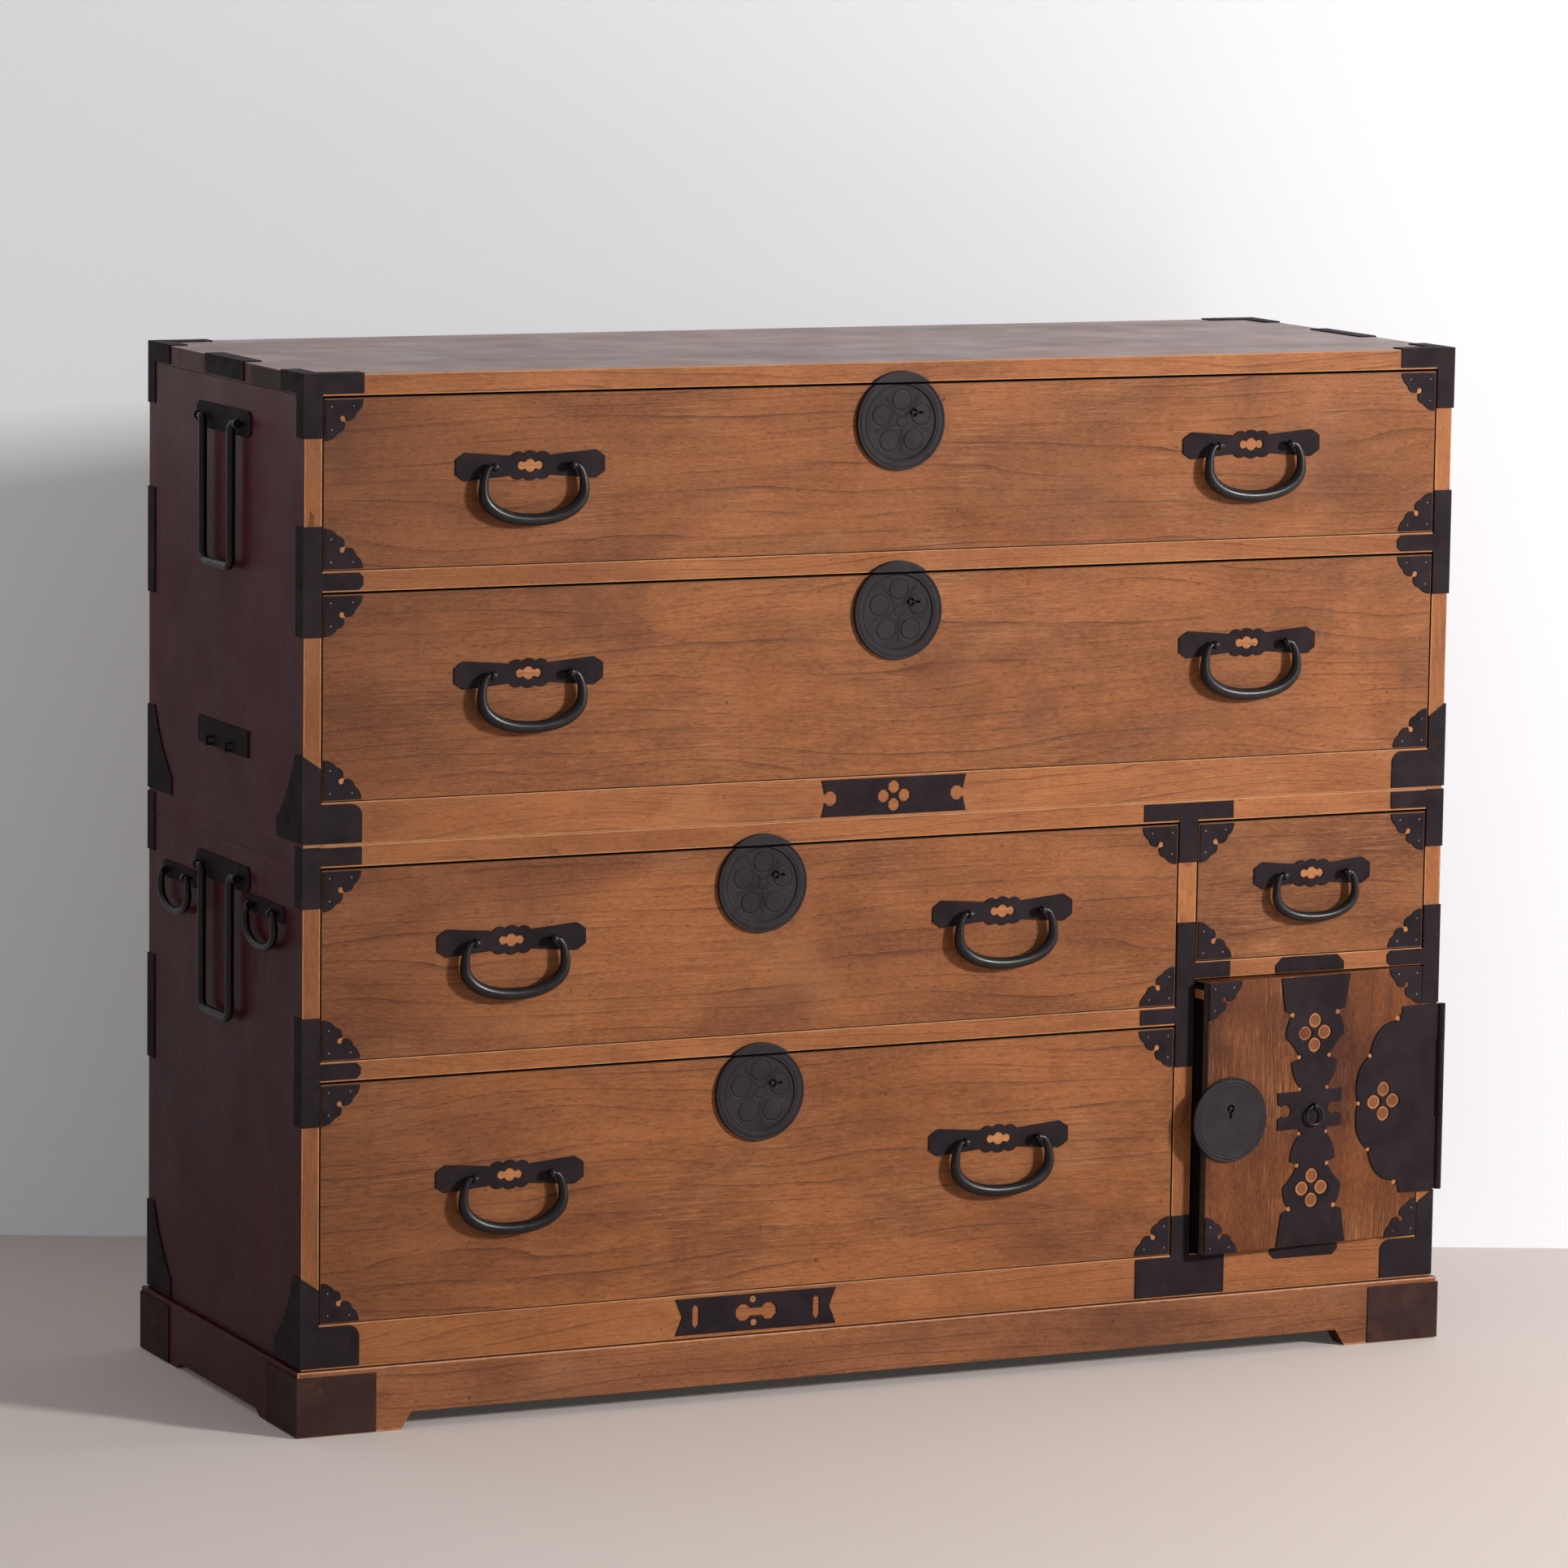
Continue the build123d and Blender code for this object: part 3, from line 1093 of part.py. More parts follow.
def export():
    """Write every node, moved so that Y = 0 lies under the middle of the chest."""
    os.makedirs("parts", exist_ok=True)
    for node, solids in PARTS.items():
        moved = [Pos(0, -CENTRE_Y, 0) * solid for solid in solids]
        flat = [piece for item in moved for piece in item.solids()]
        shape = flat[0] if len(flat) == 1 else Compound(children=flat)
        export_step(shape, f"parts/{node}.step")


def drawers():
    """The five drawers: two as wide as the upper case, two in the left bay and a small one over the door."""
    whole = (-INNER_X, INNER_X)
    left_bay = (-INNER_X, DIVIDER_X0)
    upper = handle_pair(*whole, HANDLE_IN_UPPER)
    lower = handle_pair(*left_bay, HANDLE_IN_LOWER)
    large = (PLATE_LEN, FRONT_BAIL)
    drawer("drawer_1", (*whole, FLOOR_1_Z, CEIL_1_Z), upper, DRAWER_1_HANDLE_DOWN, *large)
    drawer("drawer_2", (*whole, FLOOR_2_Z, CEIL_2_Z), upper, DRAWER_2_HANDLE_DOWN, *large)
    drawer("drawer_3", (*left_bay, FLOOR_3_Z, CEIL_3_Z), lower, DRAWER_3_HANDLE_DOWN, *large)
    drawer("drawer_4", (*left_bay, FLOOR_4_Z, CEIL_4_Z), lower, DRAWER_4_HANDLE_DOWN, *large)
    small = (DIVIDER_X1, INNER_X, FLOOR_S_Z, CEIL_3_Z)
    drawer("small_drawer", small, {"": 0.0}, SMALL_DRAWER_HANDLE_DOWN, SMALL_PLATE_LEN, SMALL_BAIL)
    for number, x, z_ceil in (
        (1, 0, CEIL_1_Z),
        (2, 0, CEIL_2_Z),
        (3, LEFT_BAY_MID, CEIL_3_Z),
        (4, LEFT_BAY_MID, CEIL_4_Z),
    ):
        add(f"drawer_{number}_lock_plate", lock_plate(x, z_ceil - DRAWER_TOP_GAP))


def main():
    """Build every node and write it."""
    cases()
    plinth()
    upper_irons()
    lower_irons()
    side_hardware()
    drawers()
    door()
    export()


if __name__ == "__main__":
    main()
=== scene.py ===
"""Looks of an isho clothing chest: two stacked wooden cases with black iron fittings, on a low plinth."""

import json
import logging
import math
from collections.abc import Callable, Iterator
from contextlib import contextmanager
from dataclasses import dataclass, field, replace
from enum import Enum

import bpy
import bmesh
import numpy as np
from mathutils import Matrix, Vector

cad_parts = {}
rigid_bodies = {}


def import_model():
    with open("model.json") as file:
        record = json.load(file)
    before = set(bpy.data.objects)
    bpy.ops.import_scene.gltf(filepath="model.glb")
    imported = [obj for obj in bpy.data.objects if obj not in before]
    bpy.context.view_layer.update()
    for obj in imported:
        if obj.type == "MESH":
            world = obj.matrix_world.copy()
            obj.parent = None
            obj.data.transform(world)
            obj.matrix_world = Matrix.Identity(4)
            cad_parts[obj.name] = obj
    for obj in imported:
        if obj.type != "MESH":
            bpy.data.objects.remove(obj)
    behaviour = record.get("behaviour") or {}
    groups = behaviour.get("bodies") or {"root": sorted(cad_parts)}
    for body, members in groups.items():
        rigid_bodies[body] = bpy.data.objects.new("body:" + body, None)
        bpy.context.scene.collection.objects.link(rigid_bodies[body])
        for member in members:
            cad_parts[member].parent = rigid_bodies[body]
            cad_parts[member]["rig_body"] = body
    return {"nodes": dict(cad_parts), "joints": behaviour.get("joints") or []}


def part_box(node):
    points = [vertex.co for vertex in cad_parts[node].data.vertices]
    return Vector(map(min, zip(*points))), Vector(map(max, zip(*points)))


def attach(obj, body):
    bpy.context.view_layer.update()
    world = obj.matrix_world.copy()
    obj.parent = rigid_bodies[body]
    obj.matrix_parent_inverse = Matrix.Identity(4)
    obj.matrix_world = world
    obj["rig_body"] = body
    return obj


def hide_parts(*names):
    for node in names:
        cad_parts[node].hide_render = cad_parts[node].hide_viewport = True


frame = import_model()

logging.basicConfig(level=logging.INFO, format="%(message)s")
log = logging.getLogger("isho_chest")

MM = 0.001
Colour = tuple[float, float, float]


def rgb(red: int, green: int, blue: int) -> Colour:
    """A screen colour as linear parts: c / 12.92 up to c = 0.04045, else ((c + 0.055) / 1.055) ** 2.4."""
    parts = (v / 255 for v in (red, green, blue))
    return tuple(v / 12.92 if v <= 0.04045 else ((v + 0.055) / 1.055) ** 2.4 for v in parts)


class Grain(Enum):
    """The way a board's grain runs."""

    ACROSS_FRONT = (1.0, 0.0, 0.0)
    UPRIGHT = (0.0, 0.0, 1.0)
    LONGEST = (0.0, 0.0, 0.0)


# ---------------------------------------------------------------- shader nodes


class NodePen:
    """Draws the nodes of one material and joins them."""

    def __init__(self, name: str) -> None:
        """Starts a material with a plain surface shader."""
        self.material = bpy.data.materials.new(name)
        self.material.use_nodes = True
        self.tree = self.material.node_tree
        self.shader = self.tree.nodes["Principled BSDF"]

    def put(self, socket: bpy.types.NodeSocket, value: object) -> None:
        """Gives a socket a link or a fixed value.

        Args:
            socket: the input socket.
            value: an output socket, a number, a vector, or a colour's three parts.
        """
        if isinstance(value, bpy.types.NodeSocket):
            self.tree.links.new(value, socket)
        elif socket.type == "RGBA":
            socket.default_value = (*value, 1.0)
        else:
            socket.default_value = value

    def node(self, kind: str, inputs: dict[int | str, object], **settings: object) -> bpy.types.Node:
        """Adds a node.

        Args:
            kind: its type without the ShaderNode prefix.
            inputs: what each input gets, by number or name.
            settings: its other properties.

        Returns:
            The node.
        """
        node = self.tree.nodes.new("ShaderNode" + kind)
        for key, value in settings.items():
            setattr(node, key, value)
        for key, value in inputs.items():
            self.put(node.inputs[key], value)
        return node

    def math(self, operation: str, *values: object) -> bpy.types.NodeSocket:
        """One sum of numbers, such as ADD or MULTIPLY, with its inputs in order."""
        return self.node("Math", dict(enumerate(values)), operation=operation).outputs[0]

    def vector(self, operation: str, *values: object) -> bpy.types.Node:
        """One sum of vectors, such as ADD; the node's outputs are the vector and the number."""
        return self.node("VectorMath", dict(enumerate(values)), operation=operation)

    def scaled(self, vector: bpy.types.NodeSocket, factor: object) -> bpy.types.NodeSocket:
        """A vector times a number."""
        return self.node("VectorMath", {0: vector, "Scale": factor}, operation="SCALE").outputs[0]

    def noise(self, vector: bpy.types.NodeSocket, scale: float, detail: float = 3.0,
              roughness: float = 0.55) -> bpy.types.NodeSocket:
        """Soft noise from 0 to 1.

        Args:
            vector: where it is read.
            scale: waves for each unit of the vector.
            detail: how many finer layers it has.
            roughness: how strong the finer layers are.

        Returns:
            The noise's number.
        """
        inputs = {"Vector": vector, "Scale": scale, "Detail": detail, "Roughness": roughness}
        return self.node("TexNoise", inputs).outputs[0]

    def span(self, value: object, low: float, high: float, to_low: float = 0.0,
             to_high: float = 1.0, smooth: bool = False) -> bpy.types.NodeSocket:
        """Carries low..high to to_low..to_high, held at the ends.

        Args:
            value: the number.
            low: where the range starts.
            high: where it ends.
            to_low: what low becomes.
            to_high: what high becomes.
            smooth: whether it eases in and out.

        Returns:
            The result's socket.
        """
        kind = "SMOOTHSTEP" if smooth else "LINEAR"
        inputs = {0: value, 1: low, 2: high, 3: to_low, 4: to_high}
        return self.node("MapRange", inputs, interpolation_type=kind).outputs[0]

    def mix(self, share: object, first: object, second: object) -> bpy.types.NodeSocket:
        """Mixes two colours, with a share of the second one."""
        return self.node("Mix", {0: share, 6: first, 7: second}, data_type="RGBA").outputs[2]

    def attribute(self, name: str) -> bpy.types.Node:
        """The node that reads a mesh attribute by name."""
        return self.node("Attribute", {}, attribute_name=name)

    def object_point(self) -> bpy.types.NodeSocket:
        """The surface's point in the piece's own coordinates."""
        return self.node("TexCoord", {}).outputs["Object"]

    def bump(self, height: bpy.types.NodeSocket, depth: float, strength: float = 1.0) -> None:
        """Gives the shader a bump whose height of 1 stands for a depth in metres."""
        inputs = {"Height": height, "Distance": depth, "Strength": strength}
        self.put(self.shader.inputs["Normal"], self.node("Bump", inputs).outputs[0])


@dataclass(frozen=True)
class Layer:
    """Noise along a board: waves a metre across and along the grain, its finer layers and their strength."""

    across: float
    along: float
    detail: float
    roughness: float = 0.55


class WoodPen(NodePen):
    """Draws a wood's nodes from the marks that every board carries."""

    shift = (0.31, 0.57, 0.83)

    def __init__(self, name: str) -> None:
        """Starts the material with the board's grain, its own point, and the point moved by its number."""
        super().__init__(name)
        seed = self.attribute("board_seed").outputs["Fac"]
        self.axis = self.attribute("board_grain").outputs["Vector"]
        self.own = self.object_point()
        shift = self.scaled(self.node("CombineXYZ", dict(enumerate(self.shift))).outputs[0], seed)
        self.point = self.vector("ADD", self.own, shift).outputs[0]

    def grained(self, layer: Layer) -> bpy.types.NodeSocket:
        """Noise along the grain a, read at across p + (along - across) (p.a) a.

        Args:
            layer: how it runs.

        Returns:
            The noise's number.
        """
        run = self.vector("DOT_PRODUCT", self.point, self.axis).outputs[1]
        extra = self.scaled(self.axis, self.math("MULTIPLY", run, layer.along - layer.across))
        place = self.vector("ADD", self.scaled(self.point, layer.across), extra).outputs[0]
        return self.noise(place, 1.0, layer.detail, layer.roughness)

    def edge_distance(self) -> bpy.types.NodeSocket:
        """How far a point is from the board's nearest edge: the middle one of the distances to its planes."""
        low = self.vector("SUBTRACT", self.own, self.attribute("board_low").outputs["Vector"]).outputs[0]
        high = self.vector("SUBTRACT", self.attribute("board_high").outputs["Vector"], self.own).outputs[0]
        near = self.vector("MINIMUM", low, high).outputs[0]
        x, y, z = self.node("SeparateXYZ", {0: near}).outputs
        smaller, larger = self.math("MINIMUM", x, y), self.math("MAXIMUM", x, y)
        return self.math("MAXIMUM", smaller, self.math("MINIMUM", larger, z))


# ---------------------------------------------------------------- finishes

PORES = Layer(650.0, 130.0, 4.0, 0.75)
FIBRES = Layer(1500.0, 40.0, 2.0)
CLOUDS = Layer(16.0, 5.0, 5.0, 0.62)
SCRATCHES = Layer(800.0, 22.0, 3.0, 0.6)
SMUDGES = Layer(9.0, 38.0, 4.0, 0.6)
BLUSHES = Layer(11.0, 6.0, 4.0, 0.6)
SWAY = Layer(4.5, 1.3, 2.0)
UNEVENNESS = Layer(26.0, 3.0, 1.0)
TREMBLE = Layer(60.0, 14.0, 3.0)
FADING = Layer(30.0, 5.0, 4.0, 0.7)
TREE_ACROSS = (0.35, 0.9, 1.0)


@dataclass(frozen=True)
class Wood:
    """Oiled or lacquered wood, with rings, fibres, smudges and worn edges, and painted shade along its rims,
    towards its left end and towards its foot.
    """

    name: str
    pale: Colour
    deep: Colour
    ring: Colour
    stain: Colour
    worn: Colour
    ring_gap: float = 9.0 * MM
    ring_share: float = 0.75
    fleck_share: float = 0.42
    fibre_share: float = 0.16
    streak_share: float = 0.15
    blush_share: float = 0.12
    stain_share: float = 0.5
    dent_share: float = 0.6
    edge_wear: float = 0.9 * MM
    wear_share: float = 0.55
    # painted shade: how dark the board's rim is painted, for the gaps between parts
    rim_painted_shade: float = 0.0
    # painted shade: how strongly the left end and the foot are darkened
    left_painted_shade: float = 0.0
    low_painted_shade: float = 0.0
    roughness: tuple[float, float] = (0.48, 0.64)
    gloss: float = 0.2
    relief: float = 0.3 * MM

    def build(self) -> bpy.types.Material:
        """Makes the material.

        Returns:
            The material, which reads the board attributes.
        """
        pen = WoodPen(self.name)
        own = pen.own
        rings = self.rings(pen)
        pores = pen.grained(PORES)
        rubbed = pen.span(pen.noise(own, 9.0, 4.0, 0.6), 0.48, 0.66)
        scratches = pen.span(pen.grained(SCRATCHES), 0.5, 0.64, 0.0, self.streak_share)
        stains = pen.noise(own, 5.0, 5.0, 0.65)
        dents = pen.span(pen.noise(own, 170.0, 2.0), 0.68, 0.74, 0.0, self.dent_share)
        x, _, z = pen.node("SeparateXYZ", {0: own}).outputs
        colour = pen.mix(pen.span(pen.grained(CLOUDS), 0.36, 0.64), self.deep, self.pale)
        for share, tone in (
                (pen.span(pores, 0.52, 0.68, 0.0, self.fleck_share), self.ring),
                (pen.span(pores, 0.46, 0.3, 0.0, 0.5 * self.fleck_share), self.worn),
                (pen.span(pen.grained(FIBRES), 0.45, 0.75, 0.0, self.fibre_share), self.ring),
                (pen.math("MULTIPLY", scratches, rubbed), self.worn),
                (pen.math("MULTIPLY", rings, self.ring_share), self.ring),
                (pen.span(pen.grained(SMUDGES), 0.6, 0.76, 0.0, 0.5 * self.stain_share, True), self.stain),
                (pen.span(stains, 0.5, 0.72, 0.0, self.stain_share, True), self.stain),
                (pen.span(pen.grained(BLUSHES), 0.52, 0.7, 0.0, self.blush_share, True), self.worn),
                (dents, self.ring),
                # painted shade: darker towards the left end and towards the foot
                (pen.span(x, -0.25, -0.6, 0.0, self.left_painted_shade, True), self.ring),
                (pen.span(z, 0.9, 0.3, 0.0, self.low_painted_shade, True), self.ring)):
            colour = pen.mix(share, colour, tone)
        pen.put(pen.shader.inputs["Base Color"], self.edges(pen, colour))
        polish = pen.span(pen.noise(own, 14.0, 4.0), 0.3, 0.7, *self.roughness)
        pen.put(pen.shader.inputs["Roughness"], pen.math("MULTIPLY_ADD", rings, 0.08, polish))
        pen.shader.inputs["Specular IOR Level"].default_value = self.gloss
        height = pen.math("MULTIPLY_ADD", rings, -0.5, pen.math("MULTIPLY", pores, 0.6))
        pen.bump(pen.math("MULTIPLY_ADD", dents, -0.8, height), self.relief, 0.7)
        return pen.material

    def rings(self, pen: WoodPen) -> bpy.types.NodeSocket:
        """Thin dark lines where the board cuts the year rings, fading in and out.

        The depth in the tree is d = 0.5 h + sway, with h the place across the grain. A line is the end of
        each ring, fract(d / gap) to the tenth power, with two weaker ones between, a third of
        fract(3 d / gap) cubed.

        Args:
            pen: the material's pen.

        Returns:
            How dark the line is, 0 to 1.
        """
        run = pen.vector("DOT_PRODUCT", pen.point, pen.axis).outputs[1]
        cross = pen.vector("SUBTRACT", pen.point, pen.scaled(pen.axis, run)).outputs[0]
        heart = pen.vector("DOT_PRODUCT", cross, TREE_ACROSS).outputs[1]
        depth = pen.math("MULTIPLY_ADD", pen.grained(SWAY), 0.07, pen.math("MULTIPLY", heart, 0.5))
        depth = pen.math("MULTIPLY_ADD", pen.grained(TREMBLE), 0.0026, depth)
        depth = pen.math("MULTIPLY_ADD", pen.grained(UNEVENNESS), 0.016, depth)
        late = pen.math("POWER", pen.math("FRACT", pen.math("DIVIDE", depth, self.ring_gap)), 10.0)
        early = pen.math("POWER", pen.math("FRACT", pen.math("DIVIDE", depth, self.ring_gap / 3)), 3.0)
        lines = pen.math("MAXIMUM", late, pen.math("MULTIPLY", early, 0.33))
        return pen.math("MULTIPLY", lines, pen.span(pen.grained(FADING), 0.34, 0.6))

    def edges(self, pen: WoodPen, colour: bpy.types.NodeSocket) -> bpy.types.NodeSocket:
        """Painted shade along a board's rim, where the gaps between parts fall dark, and the pale wood where
        its edges are rubbed.

        Args:
            pen: the material's pen.
            colour: the colour so far.

        Returns:
            The colour with rims.
        """
        rim = pen.edge_distance()
        ragged = pen.math("MULTIPLY", pen.noise(pen.own, 90.0, 4.0, 0.7), self.edge_wear * 2)
        bare = pen.math("SUBTRACT", rim, ragged)
        wear = pen.span(bare, -0.2 * self.edge_wear, 0.6 * self.edge_wear, self.wear_share, 0.0)
        colour = pen.mix(wear, colour, self.worn)
        # painted shade: the face darkens in its last millimetre towards the rim, as in the gaps between parts
        if self.rim_painted_shade:
            rim_shade = pen.span(rim, 0.35 * MM, 1.3 * MM, self.rim_painted_shade, 0.0)
            colour = pen.mix(rim_shade, colour, [part * 0.25 for part in self.ring])
        return colour


@dataclass(frozen=True)
class Iron:
    """Blackened iron with hammer marks, a blue bloom and brown rubbed patches."""

    name: str
    dark: Colour
    bloom: Colour
    rust: Colour
    rust_share: float = 0.5
    metal: float = 0.1
    roughness: tuple[float, float] = (0.52, 0.68)
    gloss: float = 0.3
    hammer: float = 0.5 * MM

    def build(self) -> bpy.types.Material:
        """Makes the material.

        Returns:
            The material, on the piece's own coordinates.
        """
        pen = NodePen(self.name)
        own = pen.object_point()
        cloud = pen.noise(own, 26.0, 4.0, 0.6)
        colour = pen.mix(pen.span(cloud, 0.35, 0.68), self.dark, self.bloom)
        patch = pen.span(pen.noise(own, 48.0, 6.0, 0.7), 0.52, 0.7, 0.0, self.rust_share, True)
        colour = pen.mix(patch, colour, self.rust)
        pen.put(pen.shader.inputs["Base Color"], colour)
        pen.shader.inputs["Metallic"].default_value = self.metal
        pen.shader.inputs["Specular IOR Level"].default_value = self.gloss
        fine = pen.noise(own, 420.0, 4.0, 0.65)
        worn = pen.span(pen.noise(own, 60.0, 4.0), 0.3, 0.7, *self.roughness)
        pen.put(pen.shader.inputs["Roughness"], pen.math("MULTIPLY_ADD", fine, 0.12, worn))
        hammer = pen.noise(own, 130.0, 3.0)
        pen.bump(pen.math("MULTIPLY_ADD", fine, 0.25, hammer), self.hammer, 0.5)
        return pen.material


class Finishes:
    """Every finish of the chest, made once."""

    def __init__(self) -> None:
        """Makes the materials."""
        # painted shade: the drawer fronts darken at their rims and towards the left end
        front = Wood("drawer_wood", rgb(150, 91, 50), rgb(120, 69, 35), rgb(52, 25, 11), rgb(84, 46, 26),
                     rgb(194, 138, 94), fleck_share=0.52, streak_share=0.3, wear_share=0.3, rim_painted_shade=0.8,
                     left_painted_shade=0.42)
        small = replace(front, name="small_drawer_wood", pale=rgb(138, 84, 46), deep=rgb(106, 60, 30))
        self.front = front.build()
        self.small = small.build()
        # painted shade: the rails darken towards the left end
        self.rail = Wood("rail_wood", rgb(164, 102, 58), rgb(138, 82, 44), rgb(76, 40, 20), rgb(100, 56, 30),
                         rgb(204, 148, 100), ring_gap=6.0 * MM, ring_share=0.85, stain_share=0.3,
                         wear_share=0.6, left_painted_shade=0.3).build()
        # painted shade: a dark wood for the faces in the gaps between parts and the door's chamfer; it also
        # stands for the dark end grain of the side boards' tongues
        self.shade = Wood("painted_shade_and_end_grain_wood", rgb(58, 35, 22), rgb(42, 24, 15), rgb(20, 11, 7), rgb(30, 17, 11),
                          rgb(96, 62, 40), wear_share=0.5, edge_wear=0.6 * MM).build()
        self.plinth = Wood("plinth_wood", rgb(146, 90, 54), rgb(112, 66, 38), rgb(60, 31, 17),
                           rgb(78, 46, 32), rgb(196, 146, 106), wear_share=0.7, edge_wear=1.4 * MM).build()
        # painted shade: the lacquer darkens towards the foot
        self.lacquer = Wood("maroon_lacquer", rgb(90, 29, 34), rgb(72, 21, 26), rgb(30, 7, 10),
                            rgb(56, 18, 21), rgb(108, 58, 54), ring_share=0.2, fleck_share=0.2,
                            streak_share=0.05, blush_share=0.04, stain_share=0.4, wear_share=0.35,
                            low_painted_shade=0.45, gloss=0.07, roughness=(0.2, 0.36)).build()
        # paler, greyer lacquer on the top faces: dust, and a painted sheen of the reflected room
        self.top = Wood("top_lacquer_dust_and_sheen", rgb(146, 106, 94), rgb(112, 78, 70), rgb(44, 26, 24), rgb(78, 52, 46),
                        rgb(160, 120, 98), ring_share=0.4, stain_share=0.6, roughness=(0.3, 0.44),
                        gloss=0.5).build()
        self.inner = Wood("inner_wood", rgb(176, 138, 100), rgb(150, 112, 78), rgb(104, 72, 48),
                          rgb(120, 88, 62), rgb(190, 152, 114), stain_share=0.3, roughness=(0.6, 0.8)).build()
        self.door = Wood("door_wood", rgb(114, 64, 31), rgb(72, 35, 17), rgb(40, 17, 9), rgb(60, 26, 14),
                         rgb(176, 122, 76), ring_share=0.5, fleck_share=0.5, streak_share=0.6,
                         blush_share=0.04, wear_share=0.7, edge_wear=1.3 * MM, gloss=0.15,
                         roughness=(0.4, 0.56)).build()
        self.unfaded = Wood("unfaded_wood", rgb(186, 124, 78), rgb(160, 98, 56), rgb(110, 60, 33),
                            rgb(130, 78, 46), rgb(214, 162, 118), wear_share=0.0).build()
        self.petal = Wood("petal_wood", rgb(134, 80, 42), rgb(104, 58, 30), rgb(60, 30, 15), rgb(90, 50, 28),
                          rgb(190, 136, 90), wear_share=0.0).build()
        # painted shade: flat black for the door's lock-side edge, which lies in shade
        self.edge_shade = Iron("painted_shade_black", rgb(8, 5, 5), rgb(14, 9, 9), rgb(24, 12, 9), 0.3, metal=0.0,
                         roughness=(0.7, 0.85), gloss=0.1).build()
        self.iron = Iron("black_iron", rgb(30, 23, 26), rgb(41, 33, 38), rgb(56, 37, 30), 0.35,
                         gloss=0.09).build()
        self.engraved = Iron("engraved_iron", rgb(32, 27, 29), rgb(43, 38, 43), rgb(56, 41, 35), 0.35,
                             roughness=(0.46, 0.6), gloss=0.18).build()
        self.forged = Iron("forged_iron", rgb(17, 13, 15), rgb(27, 22, 25), rgb(46, 31, 26), 0.3, metal=0.0,
                           roughness=(0.2, 0.32), gloss=0.32, hammer=0.15 * MM).build()
        self.bright = Iron("worn_nail", rgb(84, 82, 86), rgb(118, 118, 124), rgb(70, 52, 44), 0.2, metal=0.5,
                           roughness=(0.3, 0.45), gloss=0.5).build()
        self.brown = Iron("brown_iron", rgb(50, 31, 27), rgb(60, 41, 37), rgb(82, 50, 37), 0.6,
                          gloss=0.12).build()


# ---------------------------------------------------------------- mesh work


@dataclass(frozen=True)
class Face:
    """A flat face that carries fittings: u runs across it, v up and w out of it."""

    origin: tuple[float, float, float]
    across: tuple[float, float, float]
    out: tuple[float, float, float]

    def place(self, points: np.ndarray) -> np.ndarray:
        """Carries points from (u, v, w) into the chest's frame: origin + u across + v (0, 0, 1) + w out.

        Args:
            points: an array whose last axis holds u, v and w.

        Returns:
            An array of the same shape with x, y and z.
        """
        axes = np.array([self.across, (0.0, 0.0, 1.0), self.out])
        return np.array(self.origin) + points @ axes

    def local(self, point: tuple[float, float, float]) -> np.ndarray:
        """The (u, v, w) of a point of the chest's frame."""
        gap = np.array(point) - np.array(self.origin)
        return np.array([gap @ np.array(self.across), gap[2], gap @ np.array(self.out)])


def linked(name: str, data: bpy.types.ID) -> bpy.types.Object:
    """Puts a mesh, a curve, a lamp or a camera into the scene at the origin."""
    piece = bpy.data.objects.new(name, data)
    bpy.context.scene.collection.objects.link(piece)
    return piece


@contextmanager
def reshaped(mesh: bpy.types.Mesh) -> Iterator[bmesh.types.BMesh]:
    """Opens a mesh for editing and writes it back at the end."""
    shape = bmesh.new()
    shape.from_mesh(mesh)
    yield shape
    shape.to_mesh(mesh)
    shape.free()


def read(items: bpy.types.bpy_prop_collection, key: str, width: int, kind: type = float) -> np.ndarray:
    """One property of every vertex, edge or face.

    Args:
        items: the vertices, edges or faces.
        key: the property.
        width: how many numbers it has.
        kind: what they are.

    Returns:
        A row for each item.
    """
    values = np.zeros(len(items) * width, dtype=kind)
    items.foreach_get(key, values)
    return values.reshape(-1, width)


def smoothed(mesh: bpy.types.Mesh, angle: float = 35.0) -> None:
    """Shades a mesh smooth but for edges sharper than an angle in degrees."""
    mesh.polygons.foreach_set("use_smooth", np.ones(len(mesh.polygons), dtype=bool))
    mesh.set_sharp_from_angle(angle=math.radians(angle))


def join(name: str, parts: list[tuple[np.ndarray, np.ndarray]], angle: float = 35.0) -> bpy.types.Object:
    """Makes one mesh of several grids of four-cornered faces.

    Args:
        name: the piece's name.
        parts: for each grid its points, n by 3, and its faces, m by 4, counted from its own first point.
        angle: edges sharper than this many degrees stay sharp.

    Returns:
        The piece, linked to the scene.
    """
    starts = np.cumsum([0] + [len(points) for points, _ in parts[:-1]])
    points = np.concatenate([points for points, _ in parts])
    faces = np.concatenate([quads + start for (_, quads), start in zip(parts, starts)])
    mesh = bpy.data.meshes.new(name)
    mesh.from_pydata(points.tolist(), [], faces.tolist())
    with reshaped(mesh) as shape:
        bmesh.ops.remove_doubles(shape, verts=shape.verts, dist=2e-7)
    smoothed(mesh, angle)
    return linked(name, mesh)


def grid_faces(rows: int, columns: int, wrap: bool) -> np.ndarray:
    """The faces of a grid of points, row by row.

    Point (i, j) has number i columns + j, and face (i, j) joins (i, j), (i, j + 1), (i + 1, j + 1) and
    (i + 1, j).

    Args:
        rows: how many rows of points.
        columns: how many points in a row.
        wrap: whether the last column joins the first.

    Returns:
        The faces, m by 4.
    """
    i, j = np.meshgrid(np.arange(rows - 1), np.arange(columns if wrap else columns - 1), indexing="ij")
    after = (j + 1) % columns
    corners = [i * columns + j, i * columns + after, (i + 1) * columns + after, (i + 1) * columns + j]
    return np.stack(corners, axis=-1).reshape(-1, 4)


